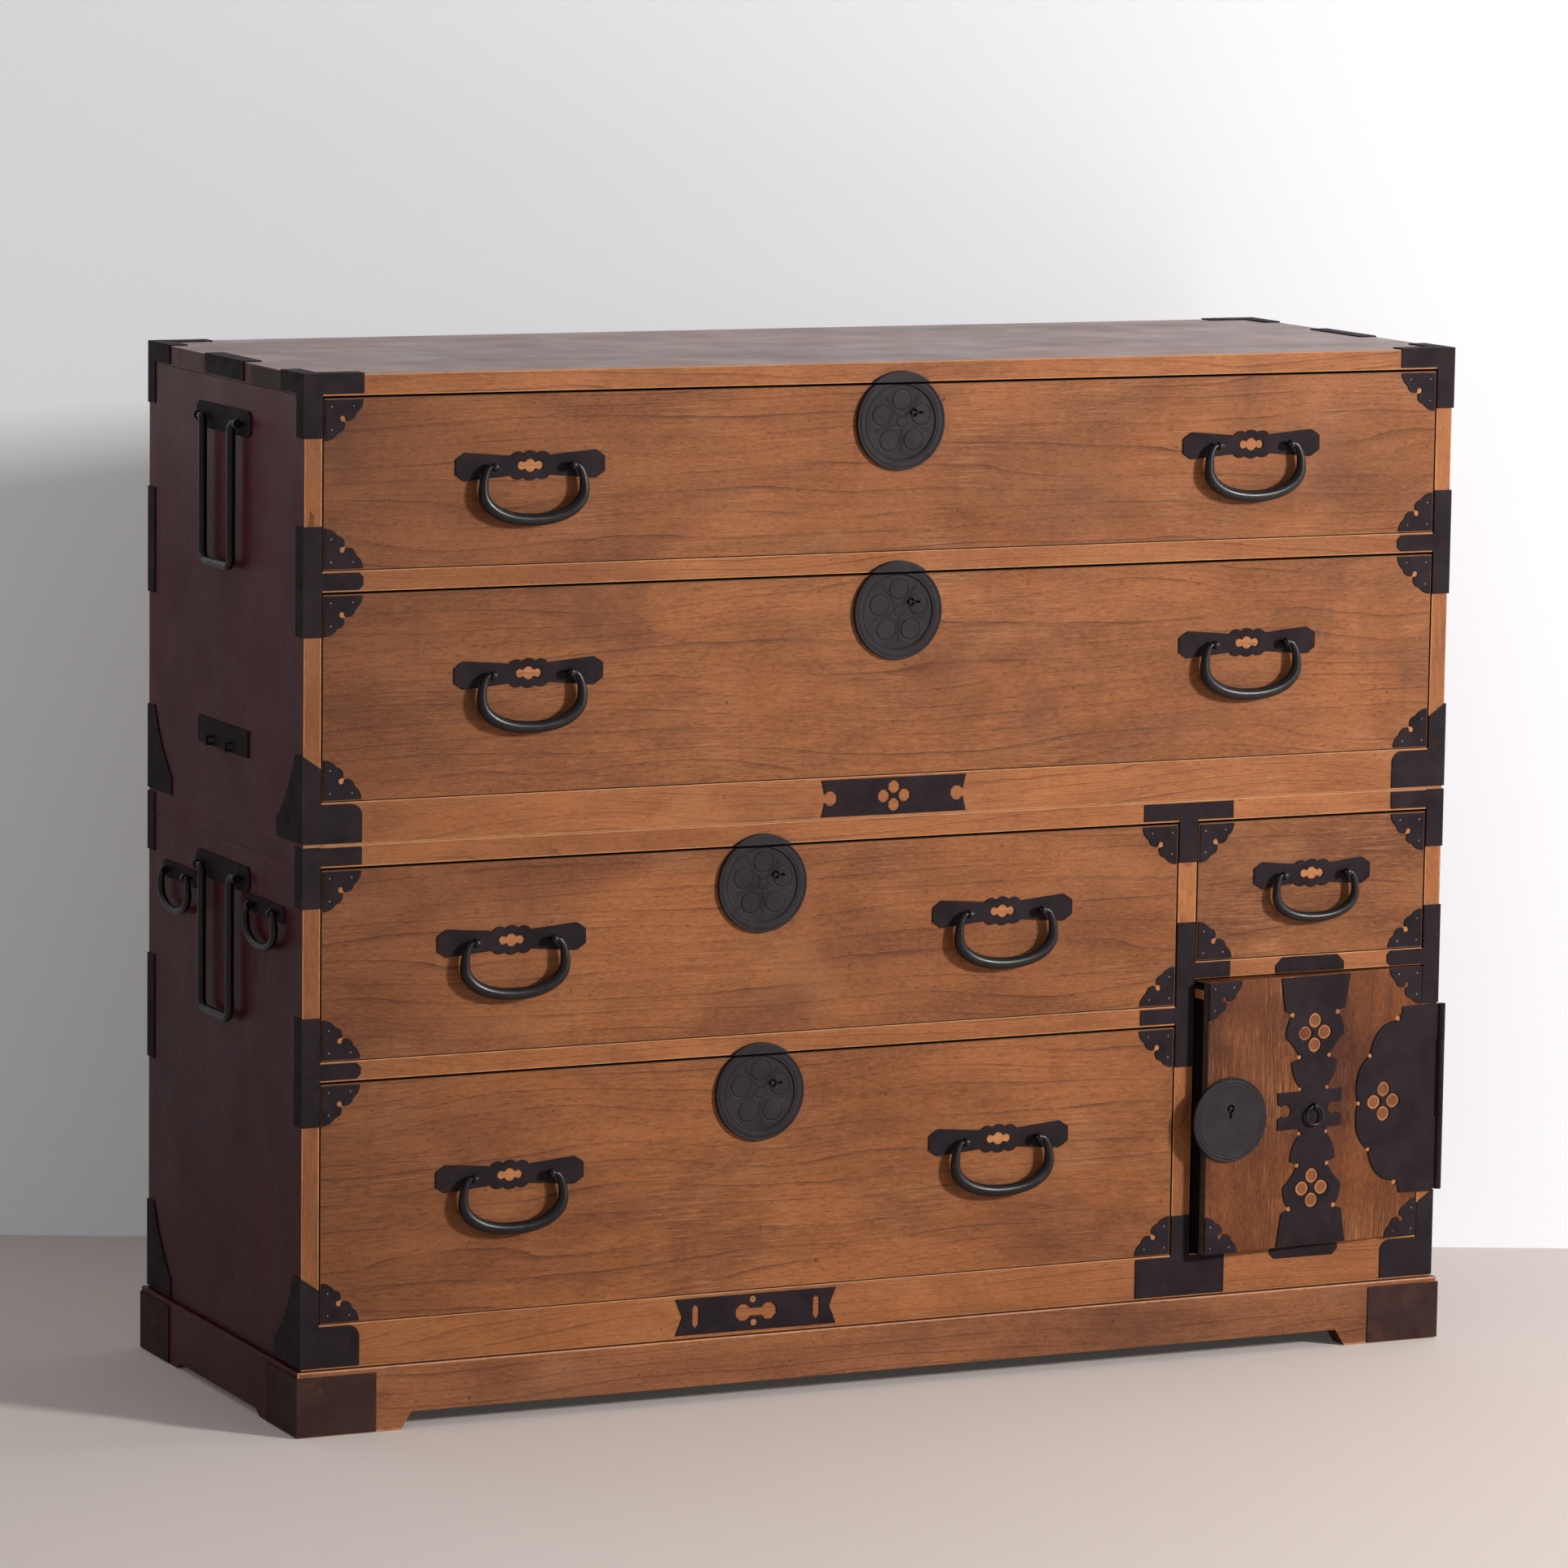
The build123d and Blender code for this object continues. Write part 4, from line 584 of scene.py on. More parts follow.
def swept(path: np.ndarray, normal: tuple[float, float, float], flat: np.ndarray, deep: np.ndarray,
          sides: int = 16) -> tuple[np.ndarray, np.ndarray]:
    """An oval section carried along a plane path, closed to a point at both ends.

    With t the path's direction, n the normal of its plane and m = t x n, a point is
    p(s) + flat(s) cos(a) n + deep(s) sin(a) m.

    Args:
        path: its points, k by 3.
        normal: the unit normal of the path's plane.
        flat: the section's half size along the normal at each point.
        deep: its half size in the path's plane at each point.
        sides: how many points go round the section.

    Returns:
        The points and faces, for join().
    """
    along = np.gradient(path, axis=0)
    along /= np.linalg.norm(along, axis=1, keepdims=True)
    up = np.array(normal)
    side = np.cross(along, up)
    angle = np.linspace(0, 2 * math.pi, sides, endpoint=False)
    wide = np.concatenate([[0], flat, [0]])[:, None, None]
    tall = np.concatenate([[0], deep, [0]])[:, None, None]
    middle = np.concatenate([path[:1], path, path[-1:]])[:, None]
    side = np.concatenate([side[:1], side, side[-1:]])[:, None]
    points = middle + wide * np.cos(angle)[None, :, None] * up + tall * np.sin(angle)[None, :, None] * side
    return points.reshape(-1, 3), grid_faces(len(path) + 2, sides, True)


def arc(centre: tuple[float, float], radius: float, start: float, stop: float, count: int) -> np.ndarray:
    """Points on an arc: centre + radius (cos a, sin a), a from start to stop in degrees."""
    angle = np.radians(np.linspace(start, stop, count))
    return np.array(centre) + radius * np.stack([np.cos(angle), np.sin(angle)], axis=1)


def round_corners(corners: list[tuple[float, float]], radii: list[float], count: int = 9) -> np.ndarray:
    """A path of straight runs whose inner corners are rounded.

    A corner p between directions d (in) and e (out) that turns by a gets an arc of radius r, which starts
    r tan(a / 2) before p. It is drawn as (1 - t)^2 q0 + 2 t (1 - t) w p + t^2 q1 over the same weights, with
    w = cos(a / 2), which is an exact arc.

    Args:
        corners: the ends and corners of the path.
        radii: a radius for each inner corner.
        count: how many points each arc gets.

    Returns:
        The path's points, k by 2.
    """
    nodes = np.array(corners, dtype=float)
    share = np.linspace(0, 1, count)[:, None]
    pieces = [nodes[:1]]
    for before, here, after, radius in zip(nodes, nodes[1:], nodes[2:], radii):
        back = (before - here) / np.linalg.norm(before - here)
        on = (after - here) / np.linalg.norm(after - here)
        half = math.acos(float(np.clip(-back @ on, -1, 1))) / 2
        reach = radius * math.tan(half)
        weight = math.cos(half)
        low, mid, high = (1 - share) ** 2, 2 * share * (1 - share) * weight, share ** 2
        bend = low * (here + back * reach) + mid * here + high * (here + on * reach)
        pieces.append(bend / (low + mid + high))
    return np.concatenate(pieces + [nodes[-1:]])


def evenly(path: np.ndarray, step: float) -> np.ndarray:
    """The same path with points at equal steps along it."""
    run = np.concatenate([[0], np.cumsum(np.linalg.norm(np.diff(path, axis=0), axis=1))])
    places = np.linspace(0, run[-1], max(int(run[-1] / step), 8))
    return np.stack([np.interp(places, run, path[:, axis]) for axis in range(path.shape[1])], axis=1)


def cut_plates(name: str, face: Face, outlines: list[np.ndarray], thick: float, bevel: float = 0.3 * MM,
               lift: float = 0.0) -> bpy.types.Object:
    """Flat plates with eased edges, cut along outlines; an outline inside another one is a hole.

    Args:
        name: the piece's name.
        face: the face that carries them.
        outlines: closed outlines, each n by 2 in (u, v).
        thick: the plates' thickness.
        bevel: the width of the eased edge.
        lift: how far their back is above the face.

    Returns:
        The piece, linked to the scene.
    """
    curve = bpy.data.curves.new(name, "CURVE")
    curve.dimensions = "2D"
    curve.fill_mode = "BOTH"
    curve.extrude = thick / 2 - bevel
    curve.bevel_depth = bevel
    curve.bevel_resolution = 1
    curve.offset = -bevel
    for outline in outlines:
        spline = curve.splines.new("POLY")
        spline.points.add(len(outline) - 1)
        rows = np.zeros((len(outline), 4), dtype=np.float32)
        rows[:, :2] = outline
        rows[:, 3] = 1
        spline.points.foreach_set("co", rows.ravel())
        spline.use_cyclic_u = True
    drawn = linked(name + "_drawn", curve)
    mesh = bpy.data.meshes.new_from_object(drawn.evaluated_get(bpy.context.evaluated_depsgraph_get()))
    bpy.data.objects.remove(drawn)
    flat = read(mesh.vertices, "co", 3) + [0, 0, lift + thick / 2]
    mesh.vertices.foreach_set("co", face.place(flat).ravel())
    smoothed(mesh, 25.0)
    mesh.name = name
    return linked(name, mesh)


def labels(edges: np.ndarray, count: int) -> np.ndarray:
    """The number of the separate solid that each vertex belongs to.

    Each vertex takes the lowest number among itself and its neighbours, l[i] = min(l[i], l[j]), until
    nothing changes.

    Args:
        edges: pairs of joined vertices.
        count: how many vertices there are.

    Returns:
        One number for each vertex, from 0 up.
    """
    label = np.arange(count)
    while True:
        low = np.minimum(label[edges[:, 0]], label[edges[:, 1]])
        fresh = label.copy()
        np.minimum.at(fresh, edges[:, 0], low)
        np.minimum.at(fresh, edges[:, 1], low)
        fresh = fresh[fresh]
        if np.array_equal(fresh, label):
            return np.unique(label, return_inverse=True)[1]
        label = fresh


def solids_of(mesh: bpy.types.Mesh) -> tuple[np.ndarray, np.ndarray, np.ndarray]:
    """Which solid each vertex of a mesh belongs to, and the solids' corners.

    Args:
        mesh: a mesh of separate solids.

    Returns:
        The solid's number for each vertex, and the lowest and highest corner of each solid.
    """
    points = read(mesh.vertices, "co", 3)
    solid = labels(read(mesh.edges, "vertices", 2, int), len(points))
    low = np.full((solid.max() + 1, 3), np.inf)
    high = -low
    np.minimum.at(low, solid, points)
    np.maximum.at(high, solid, points)
    return solid, low, high


def copied(node: str, name: str, bevel: float, flat_angle: float = 1.0,
           keep: Callable[[np.ndarray, np.ndarray], np.ndarray] | None = None) -> bpy.types.Object:
    """A copy of a CAD node with its triangles merged into whole faces and its edges eased.

    Args:
        node: the CAD node.
        name: the new piece's name.
        bevel: the width of the eased edge.
        flat_angle: faces that meet at less than this many degrees become one.
        keep: given each solid's lowest and highest corner, says which solids stay.

    Returns:
        The new piece, linked to the scene.
    """
    mesh = bpy.data.meshes.new(name)
    shape = bmesh.new()
    shape.from_mesh(frame["nodes"][node].data)
    bmesh.ops.remove_doubles(shape, verts=shape.verts, dist=1e-6)
    shape.to_mesh(mesh)
    if keep:
        solid, low, high = solids_of(mesh)
        gone = ~keep(low, high)[solid]
        shape.verts.ensure_lookup_table()
        bmesh.ops.delete(shape, geom=[shape.verts[i] for i in np.flatnonzero(gone)], context="VERTS")
    bmesh.ops.dissolve_limit(shape, angle_limit=math.radians(flat_angle), verts=shape.verts,
                             edges=shape.edges)
    shape.to_mesh(mesh)
    shape.free()
    piece = linked(name, mesh)
    ease = piece.modifiers.new("eased_edges", "BEVEL")
    ease.width = bevel
    ease.segments = 2
    ease.limit_method = "ANGLE"
    ease.angle_limit = math.radians(28)
    return piece


def cut_back(mesh: bpy.types.Mesh, point: np.ndarray, keep: tuple[float, float, float]) -> None:
    """Cuts a closed mesh along a plane and closes the cut.

    Args:
        mesh: the mesh.
        point: a point of the plane.
        keep: the direction from the plane to the side that stays.
    """
    with reshaped(mesh) as shape:
        everything = [*shape.verts, *shape.edges, *shape.faces]
        cut = bmesh.ops.bisect_plane(shape, geom=everything, plane_co=Vector(point), plane_no=Vector(keep),
                                     clear_inner=True)["geom_cut"]
        bmesh.ops.holes_fill(shape, edges=[item for item in cut if isinstance(item, bmesh.types.BMEdge)])
        bmesh.ops.recalc_face_normals(shape, faces=shape.faces)


def mark_boards(piece: bpy.types.Object, grain: Grain) -> None:
    """Writes where each board of a piece ends, its grain and its own number into the mesh.

    Args:
        piece: the piece, made of separate boards.
        grain: the way the grain runs, or LONGEST for each board's longest side.
    """
    mesh = piece.data
    board, low, high = solids_of(mesh)
    along = np.tile(np.array(grain.value), (len(low), 1))
    if grain is Grain.LONGEST:
        along = np.eye(3)[np.argmax(high - low, axis=1)]
    seed = np.modf(np.abs((low + high) @ np.array([12.9, 78.2, 37.7])) * 4.7)[0] * 9
    for key, values in {"board_low": low, "board_high": high, "board_grain": along}.items():
        mark = mesh.attributes.new(key, "FLOAT_VECTOR", "POINT")
        mark.data.foreach_set("vector", values[board].astype(np.float32).ravel())
    mark = mesh.attributes.new("board_seed", "FLOAT", "POINT")
    mark.data.foreach_set("value", seed[board].astype(np.float32))


def part_boards(mesh: bpy.types.Mesh) -> None:
    """Parts the boards of a mesh where they share an edge, so that the eased edges stay inside each board."""
    with reshaped(mesh) as shape:
        bmesh.ops.split_edges(shape, edges=[edge for edge in shape.edges if len(edge.link_faces) > 2])


def number_faces(mesh: bpy.types.Mesh, rule: Callable[..., np.ndarray]) -> None:
    """Gives each face one of the piece's materials after the way it looks.

    Args:
        mesh: the mesh.
        rule: given the x, y and z of the faces' normals, says the materials' numbers.
    """
    numbers = rule(*read(mesh.polygons, "normal", 3).T)
    mesh.polygons.foreach_set("material_index", numbers.astype(np.int32))


def dress(piece: bpy.types.Object, node: str, slot: str, *materials: bpy.types.Material,
          stands_for: bool = True, grain: Grain | None = None) -> None:
    """Gives a piece a CAD node's body and its materials.

    Args:
        piece: the piece.
        node: the CAD node it belongs to.
        slot: not used.
        materials: its materials in the order of its faces' numbers.
        stands_for: whether it stands for the node.
        grain: the way its grain runs, if it is of wood.
    """
    if grain:
        mark_boards(piece, grain)
    for material in materials:
        piece.data.materials.append(material)
    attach(piece, frame["nodes"][node]["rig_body"])
    if stands_for:
        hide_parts(node)
    log.info("%s: %d faces", piece.name, len(piece.data.polygons))


# ---------------------------------------------------------------- faces of the chest

FRONT_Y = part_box("lower_side_boards")[0][1]
SIDE_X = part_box("lower_side_boards")[1][0]
FRONT = Face((0.0, FRONT_Y, 0.0), (1.0, 0.0, 0.0), (0.0, -1.0, 0.0))
RIGHT = Face((SIDE_X, 0.0, 0.0), (0.0, 1.0, 0.0), (1.0, 0.0, 0.0))
LEFT = Face((-SIDE_X, 0.0, 0.0), (0.0, -1.0, 0.0), (-1.0, 0.0, 0.0))
JOINTS = {joint["name"]: joint for joint in frame["joints"]}
IRON_FLAT = 4.0
LOCK_CREASE = 40.0
DOOR_AJAR = 4.0
DOOR_BACK = 1.8 * MM
LARGE_DRAWERS = ("drawer_1", "drawer_2", "drawer_3", "drawer_4")
CASES = ("lower", "upper")


def door_face() -> Face:
    """The door's front face where it stands ajar, with u measured from the hinge's axis.

    Returns:
        The face: the front face moved back from the axis and turned with the door.
    """
    turn, back = math.radians(DOOR_AJAR), -DOOR_BACK
    x, y, _ = JOINTS["door_hinge"]["pos_m"]
    out = (math.sin(turn), -math.cos(turn), 0.0)
    return Face((x + back * out[0], y + back * out[1], 0.0), (math.cos(turn), math.sin(turn), 0.0), out)


# ---------------------------------------------------------------- cases, drawers and door


@dataclass
class Boards:
    """The wooden boards of the chest, each a copy of its solid with eased edges."""

    finishes: Finishes
    ease: float = 0.9 * MM
    tongues: tuple[tuple[float, float], ...] = ((60 * MM, 146 * MM), (-67.4 * MM, -66.2 * MM),
                                                (-129.6 * MM, -128.4 * MM))

    def board(self, node: str, grain: Grain, slot: str, body: bpy.types.Material,
              front: bpy.types.Material | None = None, top: bpy.types.Material | None = None) -> None:
        """Makes one node's boards.

        Args:
            node: the CAD node.
            grain: the way its grain runs.
            slot: the record's material slot.
            body: its material.
            front: the material of the faces that look to the front, if it is another one.
            top: the material of the faces that look up, if it is another one.
        """
        piece = copied(node, node + "_wood", self.ease)
        dress(piece, node, slot, body, front or body, top or body, grain=grain)
        part_boards(piece.data)
        number_faces(piece.data, lambda x, y, z: np.where(y < -0.6, 1, np.where(z > 0.6, 2, 0)))

    def fingers(self) -> None:
        """Makes the dark tongues of the side boards that show in the top board's ends."""
        low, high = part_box("upper_top_board")
        foot, head = low[2] + 0.4 * MM, high[2] - self.ease
        for name, face, way in (("left", LEFT, 1), ("right", RIGHT, -1)):
            spans = [sorted((way * start, way * end)) for start, end in self.tongues]
            plates = [np.array([(start, foot), (end, foot), (end, head), (start, head)])
                      for start, end in spans]
            piece = cut_plates(f"top_tongues_{name}", face, plates, 0.12 * MM, 0.05 * MM)
            dress(piece, "upper_top_board", "lacquered_wood", self.finishes.shade, stands_for=False,
                  grain=Grain.UPRIGHT)

    def door(self) -> None:
        """Makes the door's board and clamps, with painted shade: a black edge on the lock side and a dark
        chamfer.
        """
        own = self.finishes
        piece = copied("door_panel", "door_panel_wood", self.ease)
        dress(piece, "door_panel", "door_wood", own.door, own.edge_shade, own.shade, grain=Grain.LONGEST)
        # painted shade: the lock-side edge is black, the chamfer takes the shade wood
        number_faces(piece.data, lambda x, y, z: np.where(x < -0.9, 1, np.where(x < -0.4, 2, 0)))

    def build(self) -> None:
        """Makes all the boards."""
        own = self.finishes
        self.board("base_frame", Grain.LONGEST, "lacquered_wood", own.lacquer, own.plinth)
        for case in CASES:
            self.board(f"{case}_side_boards", Grain.UPRIGHT, "lacquered_wood", own.lacquer, own.rail)
            self.board(f"{case}_top_board", Grain.ACROSS_FRONT, "lacquered_wood", own.lacquer, own.rail,
                       own.top)
            # painted shade: shelves, divider and drawer fronts take the shade wood on every face but the
            # front
            self.board(f"{case}_shelves", Grain.ACROSS_FRONT, "front_wood", own.shade, own.rail)
            self.board(f"{case}_back_board", Grain.ACROSS_FRONT, "inner_wood", own.inner)
        self.board("lower_divider", Grain.UPRIGHT, "front_wood", own.shade, own.rail)
        for drawer in (*LARGE_DRAWERS, "small_drawer"):
            front = own.small if drawer == "small_drawer" else own.front
            self.board(f"{drawer}_front", Grain.ACROSS_FRONT, "front_wood", own.shade, front)
            self.board(f"{drawer}_box", Grain.LONGEST, "inner_wood", own.inner)
        self.door()
        self.fingers()


@dataclass
class CaseIrons:
    """The folded irons of the cases and the plinth, with eased edges."""

    finishes: Finishes
    ease: float = 0.35 * MM
    catch_reach: float = 3.0 * MM
    peg: float = 3.0 * MM
    peg_lift: float = 1.75 * MM
    pegs: tuple[tuple[float, float], ...] = ((-139.0 * MM, 94.0 * MM), (-138.0 * MM, 72.0 * MM))

    def build(self) -> None:
        """Makes the irons as copies of their solids, without the lock catches."""
        front = FRONT_Y - self.catch_reach
        for case in CASES:
            for part, keep in (("front", lambda low, high: low[:, 1] > front), ("side", None)):
                node = f"{case}_{part}_irons"
                piece = copied(node, node + "_plates", self.ease, IRON_FLAT, keep)
                dress(piece, node, "black_iron", self.finishes.iron)
        pegs = [patch_of(FRONT, place, (self.peg, self.peg), self.peg_lift) for place in self.pegs]
        dress(join("tie_plate_pegs", pegs), "lower_front_irons", "black_iron", self.finishes.unfaded,
              stands_for=False, grain=Grain.ACROSS_FRONT)
        piece = copied("base_corner_irons", "base_irons", self.ease, IRON_FLAT)
        dress(piece, "base_corner_irons", "brown_iron", self.finishes.brown)


@dataclass
class Eye:
    """A split pin: a flat bar bent round the handle's pin, its two legs clinched behind the board."""

    ring: float = 3.55 * MM
    thick: float = 0.85 * MM
    half_width: float = 2.45 * MM
    leg_gap: float = 0.87 * MM
    clinch: float = 8.0 * MM

    def path(self, standoff: float, board: float, clinched: bool) -> np.ndarray:
        """The bar's middle line in (w, v), with the board's face at w = 0.

        A leg runs at v = gap from the back of the board to the ring, the ring is standoff + r (cos a, sin a)
        from a0 to -a0 the long way round, where r sin a0 = gap, and the other leg mirrors the first.

        Args:
            standoff: how far the handle's pin is from the board.
            board: how thick the board is.
            clinched: whether the legs spread behind the board.

        Returns:
            The line's points, k by 2.
        """
        meet = 180 - math.degrees(math.asin(self.leg_gap / self.ring))
        ring = arc((standoff, 0.0), self.ring, meet, -meet, 40)
        end = -board - self.thick if clinched else -board + self.thick
        leg = [(end, self.clinch), (end, self.leg_gap)] if clinched else [(end, self.leg_gap)]
        first = np.array(leg)
        return np.concatenate([first, ring, first[::-1] * [1, -1]])

    def parts(self, face: Face, places: list[np.ndarray], board: float, clinched: bool,
              width: float | None = None, ring: float | None = None) -> list[tuple[np.ndarray, np.ndarray]]:
        """The meshes of several eyes, each at a pin's (u, v, w).

        Args:
            face: the face that carries them.
            places: the middle of each pin inside its eye.
            board: how thick the board is.
            clinched: whether the legs spread behind it.
            width: half the bar's width, if it isn't the usual one.
            ring: the ring's radius, if it isn't the usual one.

        Returns:
            Points and faces for join().
        """
        wide = width or self.half_width
        found = []
        for u, v, w in places:
            line = evenly(Eye(ring=ring or self.ring).path(w, board, clinched), 0.5 * MM)
            path = face.place(np.stack([np.full(len(line), u), line[:, 1] + v, line[:, 0]], axis=1))
            size = np.ones(len(line))
            found.append(swept(path, face.across, wide * size, self.thick * size, 12))
        return found


@dataclass
class Handle:
    """A forged bar bent in one plane, whose ends are thin pins."""

    pins: float
    pin: float = 2.5 * MM
    bar: float = 4.1 * MM
    swell: float = 16.0 * MM
    straight: float = 7.0 * MM
    step: float = 1.0 * MM
    sides: int = 20

    def line(self) -> np.ndarray:
        """The bar's middle line in (u, v) about the middle between its pins; each kind has its own."""
        raise NotImplementedError

    def build(self, node: str, face: Face, material: bpy.types.Material) -> None:
        """Makes the handle where its joint is, with half a bar's thickness of pin + (bar - pin) sin g.

        Args:
            node: the CAD node it stands for.
            face: the face it hangs on.
            material: its finish.
        """
        line = self.line()
        middle = face.local(JOINTS[node + "_swing"]["pos_m"])
        path = face.place(np.concatenate([line, np.zeros((len(line), 1))], axis=1) + middle)
        run = np.arange(len(line)) * self.step
        grown = np.clip((np.minimum(run, run[::-1]) - self.straight) / self.swell, 0, 1)
        size = self.pin + (self.bar - self.pin) * np.sin(grown * math.pi / 2)
        bar = join(node + "_bar", [swept(path, face.out, size, size, self.sides)])
        dress(bar, node, "black_iron", material)


@dataclass
class DropHandle(Handle):
    """A forged drop handle: a crescent that swells to the middle and curls in to two thin pins."""

    pins: float = 77.0 * MM
    half_width: float = 49.6 * MM
    shoulder: float = 21.0 * MM
    drop: float = 48.6 * MM
    bar: float = 5.7 * MM
    swell: float = 48.0 * MM
    straight: float = 6.5 * MM
    step: float = 0.9 * MM
    fullness: float = 2.15

    def line(self) -> np.ndarray:
        """The crescent at equal steps.

        Each pin is straight, then a quarter oval u = c + (W - c) cos a, v = -S (1 - sin a) leads down to the
        shoulder, and the bow is |u / W|^p + |(v + S) / (D - S)|^p = 1.

        Returns:
            Its points in (u, v).
        """
        pin_in, pin_out = self.pins / 2 - 3.5 * MM, self.pins / 2 + 3.0 * MM
        turn = np.linspace(math.pi / 2, 0, 24, endpoint=False)
        curl = np.stack([pin_out + (self.half_width - pin_out) * np.cos(turn),
                         -self.shoulder * (1 - np.sin(turn))], axis=1)
        sweep = np.linspace(0, math.pi, 121)
        power = 2 / self.fullness
        bow = np.stack([self.half_width * np.sign(np.cos(sweep)) * np.abs(np.cos(sweep)) ** power,
                        -self.shoulder - (self.drop - self.shoulder) * np.sin(sweep) ** power], axis=1)
        right = np.concatenate([[(pin_in, 0.0)], curl])
        left = right[::-1] * [-1, 1]
        return evenly(np.concatenate([right, bow, left]), self.step)


@dataclass
class CarryingHandle(Handle):
    """A deep square bail for carrying; its upper ends turn outwards into the eyes."""

    pins: float = 104.0 * MM
    legs: float = 74.0 * MM
    drop: float = 133.0 * MM
    shoulder_bend: float = 7.0 * MM
    foot_bend: float = 10.0 * MM
    reach: float = 3.5 * MM

    def line(self) -> np.ndarray:
        """The bail at equal steps in (u, v): two pins, two legs and a level foot with rounded corners."""
        end, leg = self.pins / 2 + self.reach, self.legs / 2
        corners = [(end, 0), (leg, 0), (leg, -self.drop), (-leg, -self.drop), (-leg, 0), (-end, 0)]
        bends = [self.shoulder_bend, self.foot_bend, self.foot_bend, self.shoulder_bend]
        return evenly(round_corners(corners, bends), self.step)


@dataclass
class QuarterPlate:
    """A quarter plate: two lobes with a keyhole-shaped nick between them."""

    span: float = 36.6 * MM
    waist: tuple[float, float] = (31.0 * MM, 11.6 * MM)
    cusp: float = 20.3 * MM
    bulge: tuple[float, float] = (1.5 * MM, 2.6 * MM)
    hole: float = 2.7 * MM
    hole_at: float = 17.0 * MM
    nick: float = 1.3 * MM
    inset: float = 1.5 * MM
    nails: tuple[tuple[float, float], ...] = ((5.7 * MM, 6.2 * MM), (5.7 * MM, 27.0 * MM),
                                              (27.0 * MM, 6.0 * MM))
    nick_step: tuple[float, float] = (-0.9 * MM, 0.5 * MM)

    def lobe(self, start: tuple[float, float], end: tuple[float, float], bulge: float) -> np.ndarray:
        """One lobe from a to b: a + s (b - a) + 4 h s (1 - s) n, with n the unit normal and h the bulge."""
        share = np.linspace(0, 1, 12)[:, None]
        run = np.array(end) - np.array(start)
        normal = np.array([run[1], -run[0]]) / np.linalg.norm(run)
        return np.array(start) + share * run + 4 * bulge * share * (1 - share) * normal

    def outline(self) -> np.ndarray:
        """The outline in the corner (0, 0), (span, 0), (0, span), alike on both sides of the diagonal."""
        waist = np.array(self.waist)
        outer = self.lobe((self.span, 0.0), waist, self.bulge[0])
        mouth = (self.cusp + self.nick / 2, self.cusp - self.nick)
        inner = self.lobe(waist + self.nick_step, mouth, self.bulge[1])
        open_half = math.degrees(math.asin(self.nick / self.hole))
        hole = arc((self.hole_at, self.hole_at), self.hole, 45 - open_half, 45 + open_half - 360, 24)
        side = np.concatenate([outer, inner])
        return np.concatenate([[(0.0, 0.0)], side, hole, side[::-1, ::-1]])

    def corners(self, low: tuple[float, float],
                high: tuple[float, float]) -> list[tuple[np.ndarray, np.ndarray]]:
        """Where the four plates of a panel stand: the corner's place and the way it opens."""
        return [(np.array([(low, high)[i][0], (low, high)[j][1]]), np.array([1 - 2 * i, 1 - 2 * j]))
                for i in (0, 1) for j in (0, 1)]

    def outlines(self, low: tuple[float, float], high: tuple[float, float]) -> list[np.ndarray]:
        """The four plates of a panel from its lowest to its highest corner in (u, v)."""
        return [place + self.outline() * way for place, way in self.corners(low, high)]

    def nail_places(self, low: tuple[float, float], high: tuple[float, float]) -> list[np.ndarray]:
        """Where the nails of the four plates are."""
        return [place + np.array(nail) * way for place, way in self.corners(low, high)
                for nail in self.nails]


def patch_of(face: Face, middle: tuple[float, float], size: tuple[float, float],
             lift: float = 0.12 * MM) -> tuple[np.ndarray, np.ndarray]:
    """A thin oval of wood in a piercing: (r a cos t, r b sin t), with r from 0 to 1 and its edge folded.

    Args:
        face: the face that carries it.
        middle: its middle in (u, v).
        size: its half sizes.
        lift: how far it is above the board.

    Returns:
        Points and faces for join().
    """
    around = np.linspace(0, 2 * math.pi, 28, endpoint=False)
    share, turn = np.meshgrid([0.0, 0.6, 1.0, 1.0], around, indexing="ij")
    high = np.full_like(share, lift)
    high[-1] = -lift
    oval = np.stack([middle[0] + size[0] * share * np.cos(turn), middle[1] + size[1] * share * np.sin(turn),
                     high], axis=-1)
    return face.place(oval.reshape(-1, 3)), grid_faces(len(share), len(around), True)


def nail_heads(face: Face, places: list[np.ndarray], lift: float, radius: float = 0.95 * MM,
               height: float = 0.5 * MM) -> list[tuple[np.ndarray, np.ndarray]]:
    """Small domed nail heads: w = lift + h cos a, and at r sin a from the middle, a from 0 to 90 degrees.

    Args:
        face: the face that carries them.
        places: their middles in (u, v).
        lift: how far the plate's face is from the wood.
        radius: their radius.
        height: their height.

    Returns:
        Points and faces for join().
    """
    rise, turn = np.meshgrid(np.linspace(0, math.pi / 2, 4), np.linspace(0, 2 * math.pi, 10, endpoint=False),
                             indexing="ij")
    dome = np.stack([radius * np.sin(rise) * np.cos(turn), radius * np.sin(rise) * np.sin(turn),
                     height * np.cos(rise)], axis=-1).reshape(-1, 3)
    quads = grid_faces(4, 10, True)
    return [(face.place(dome + [u, v, lift]), quads[:, ::-1]) for u, v in places]


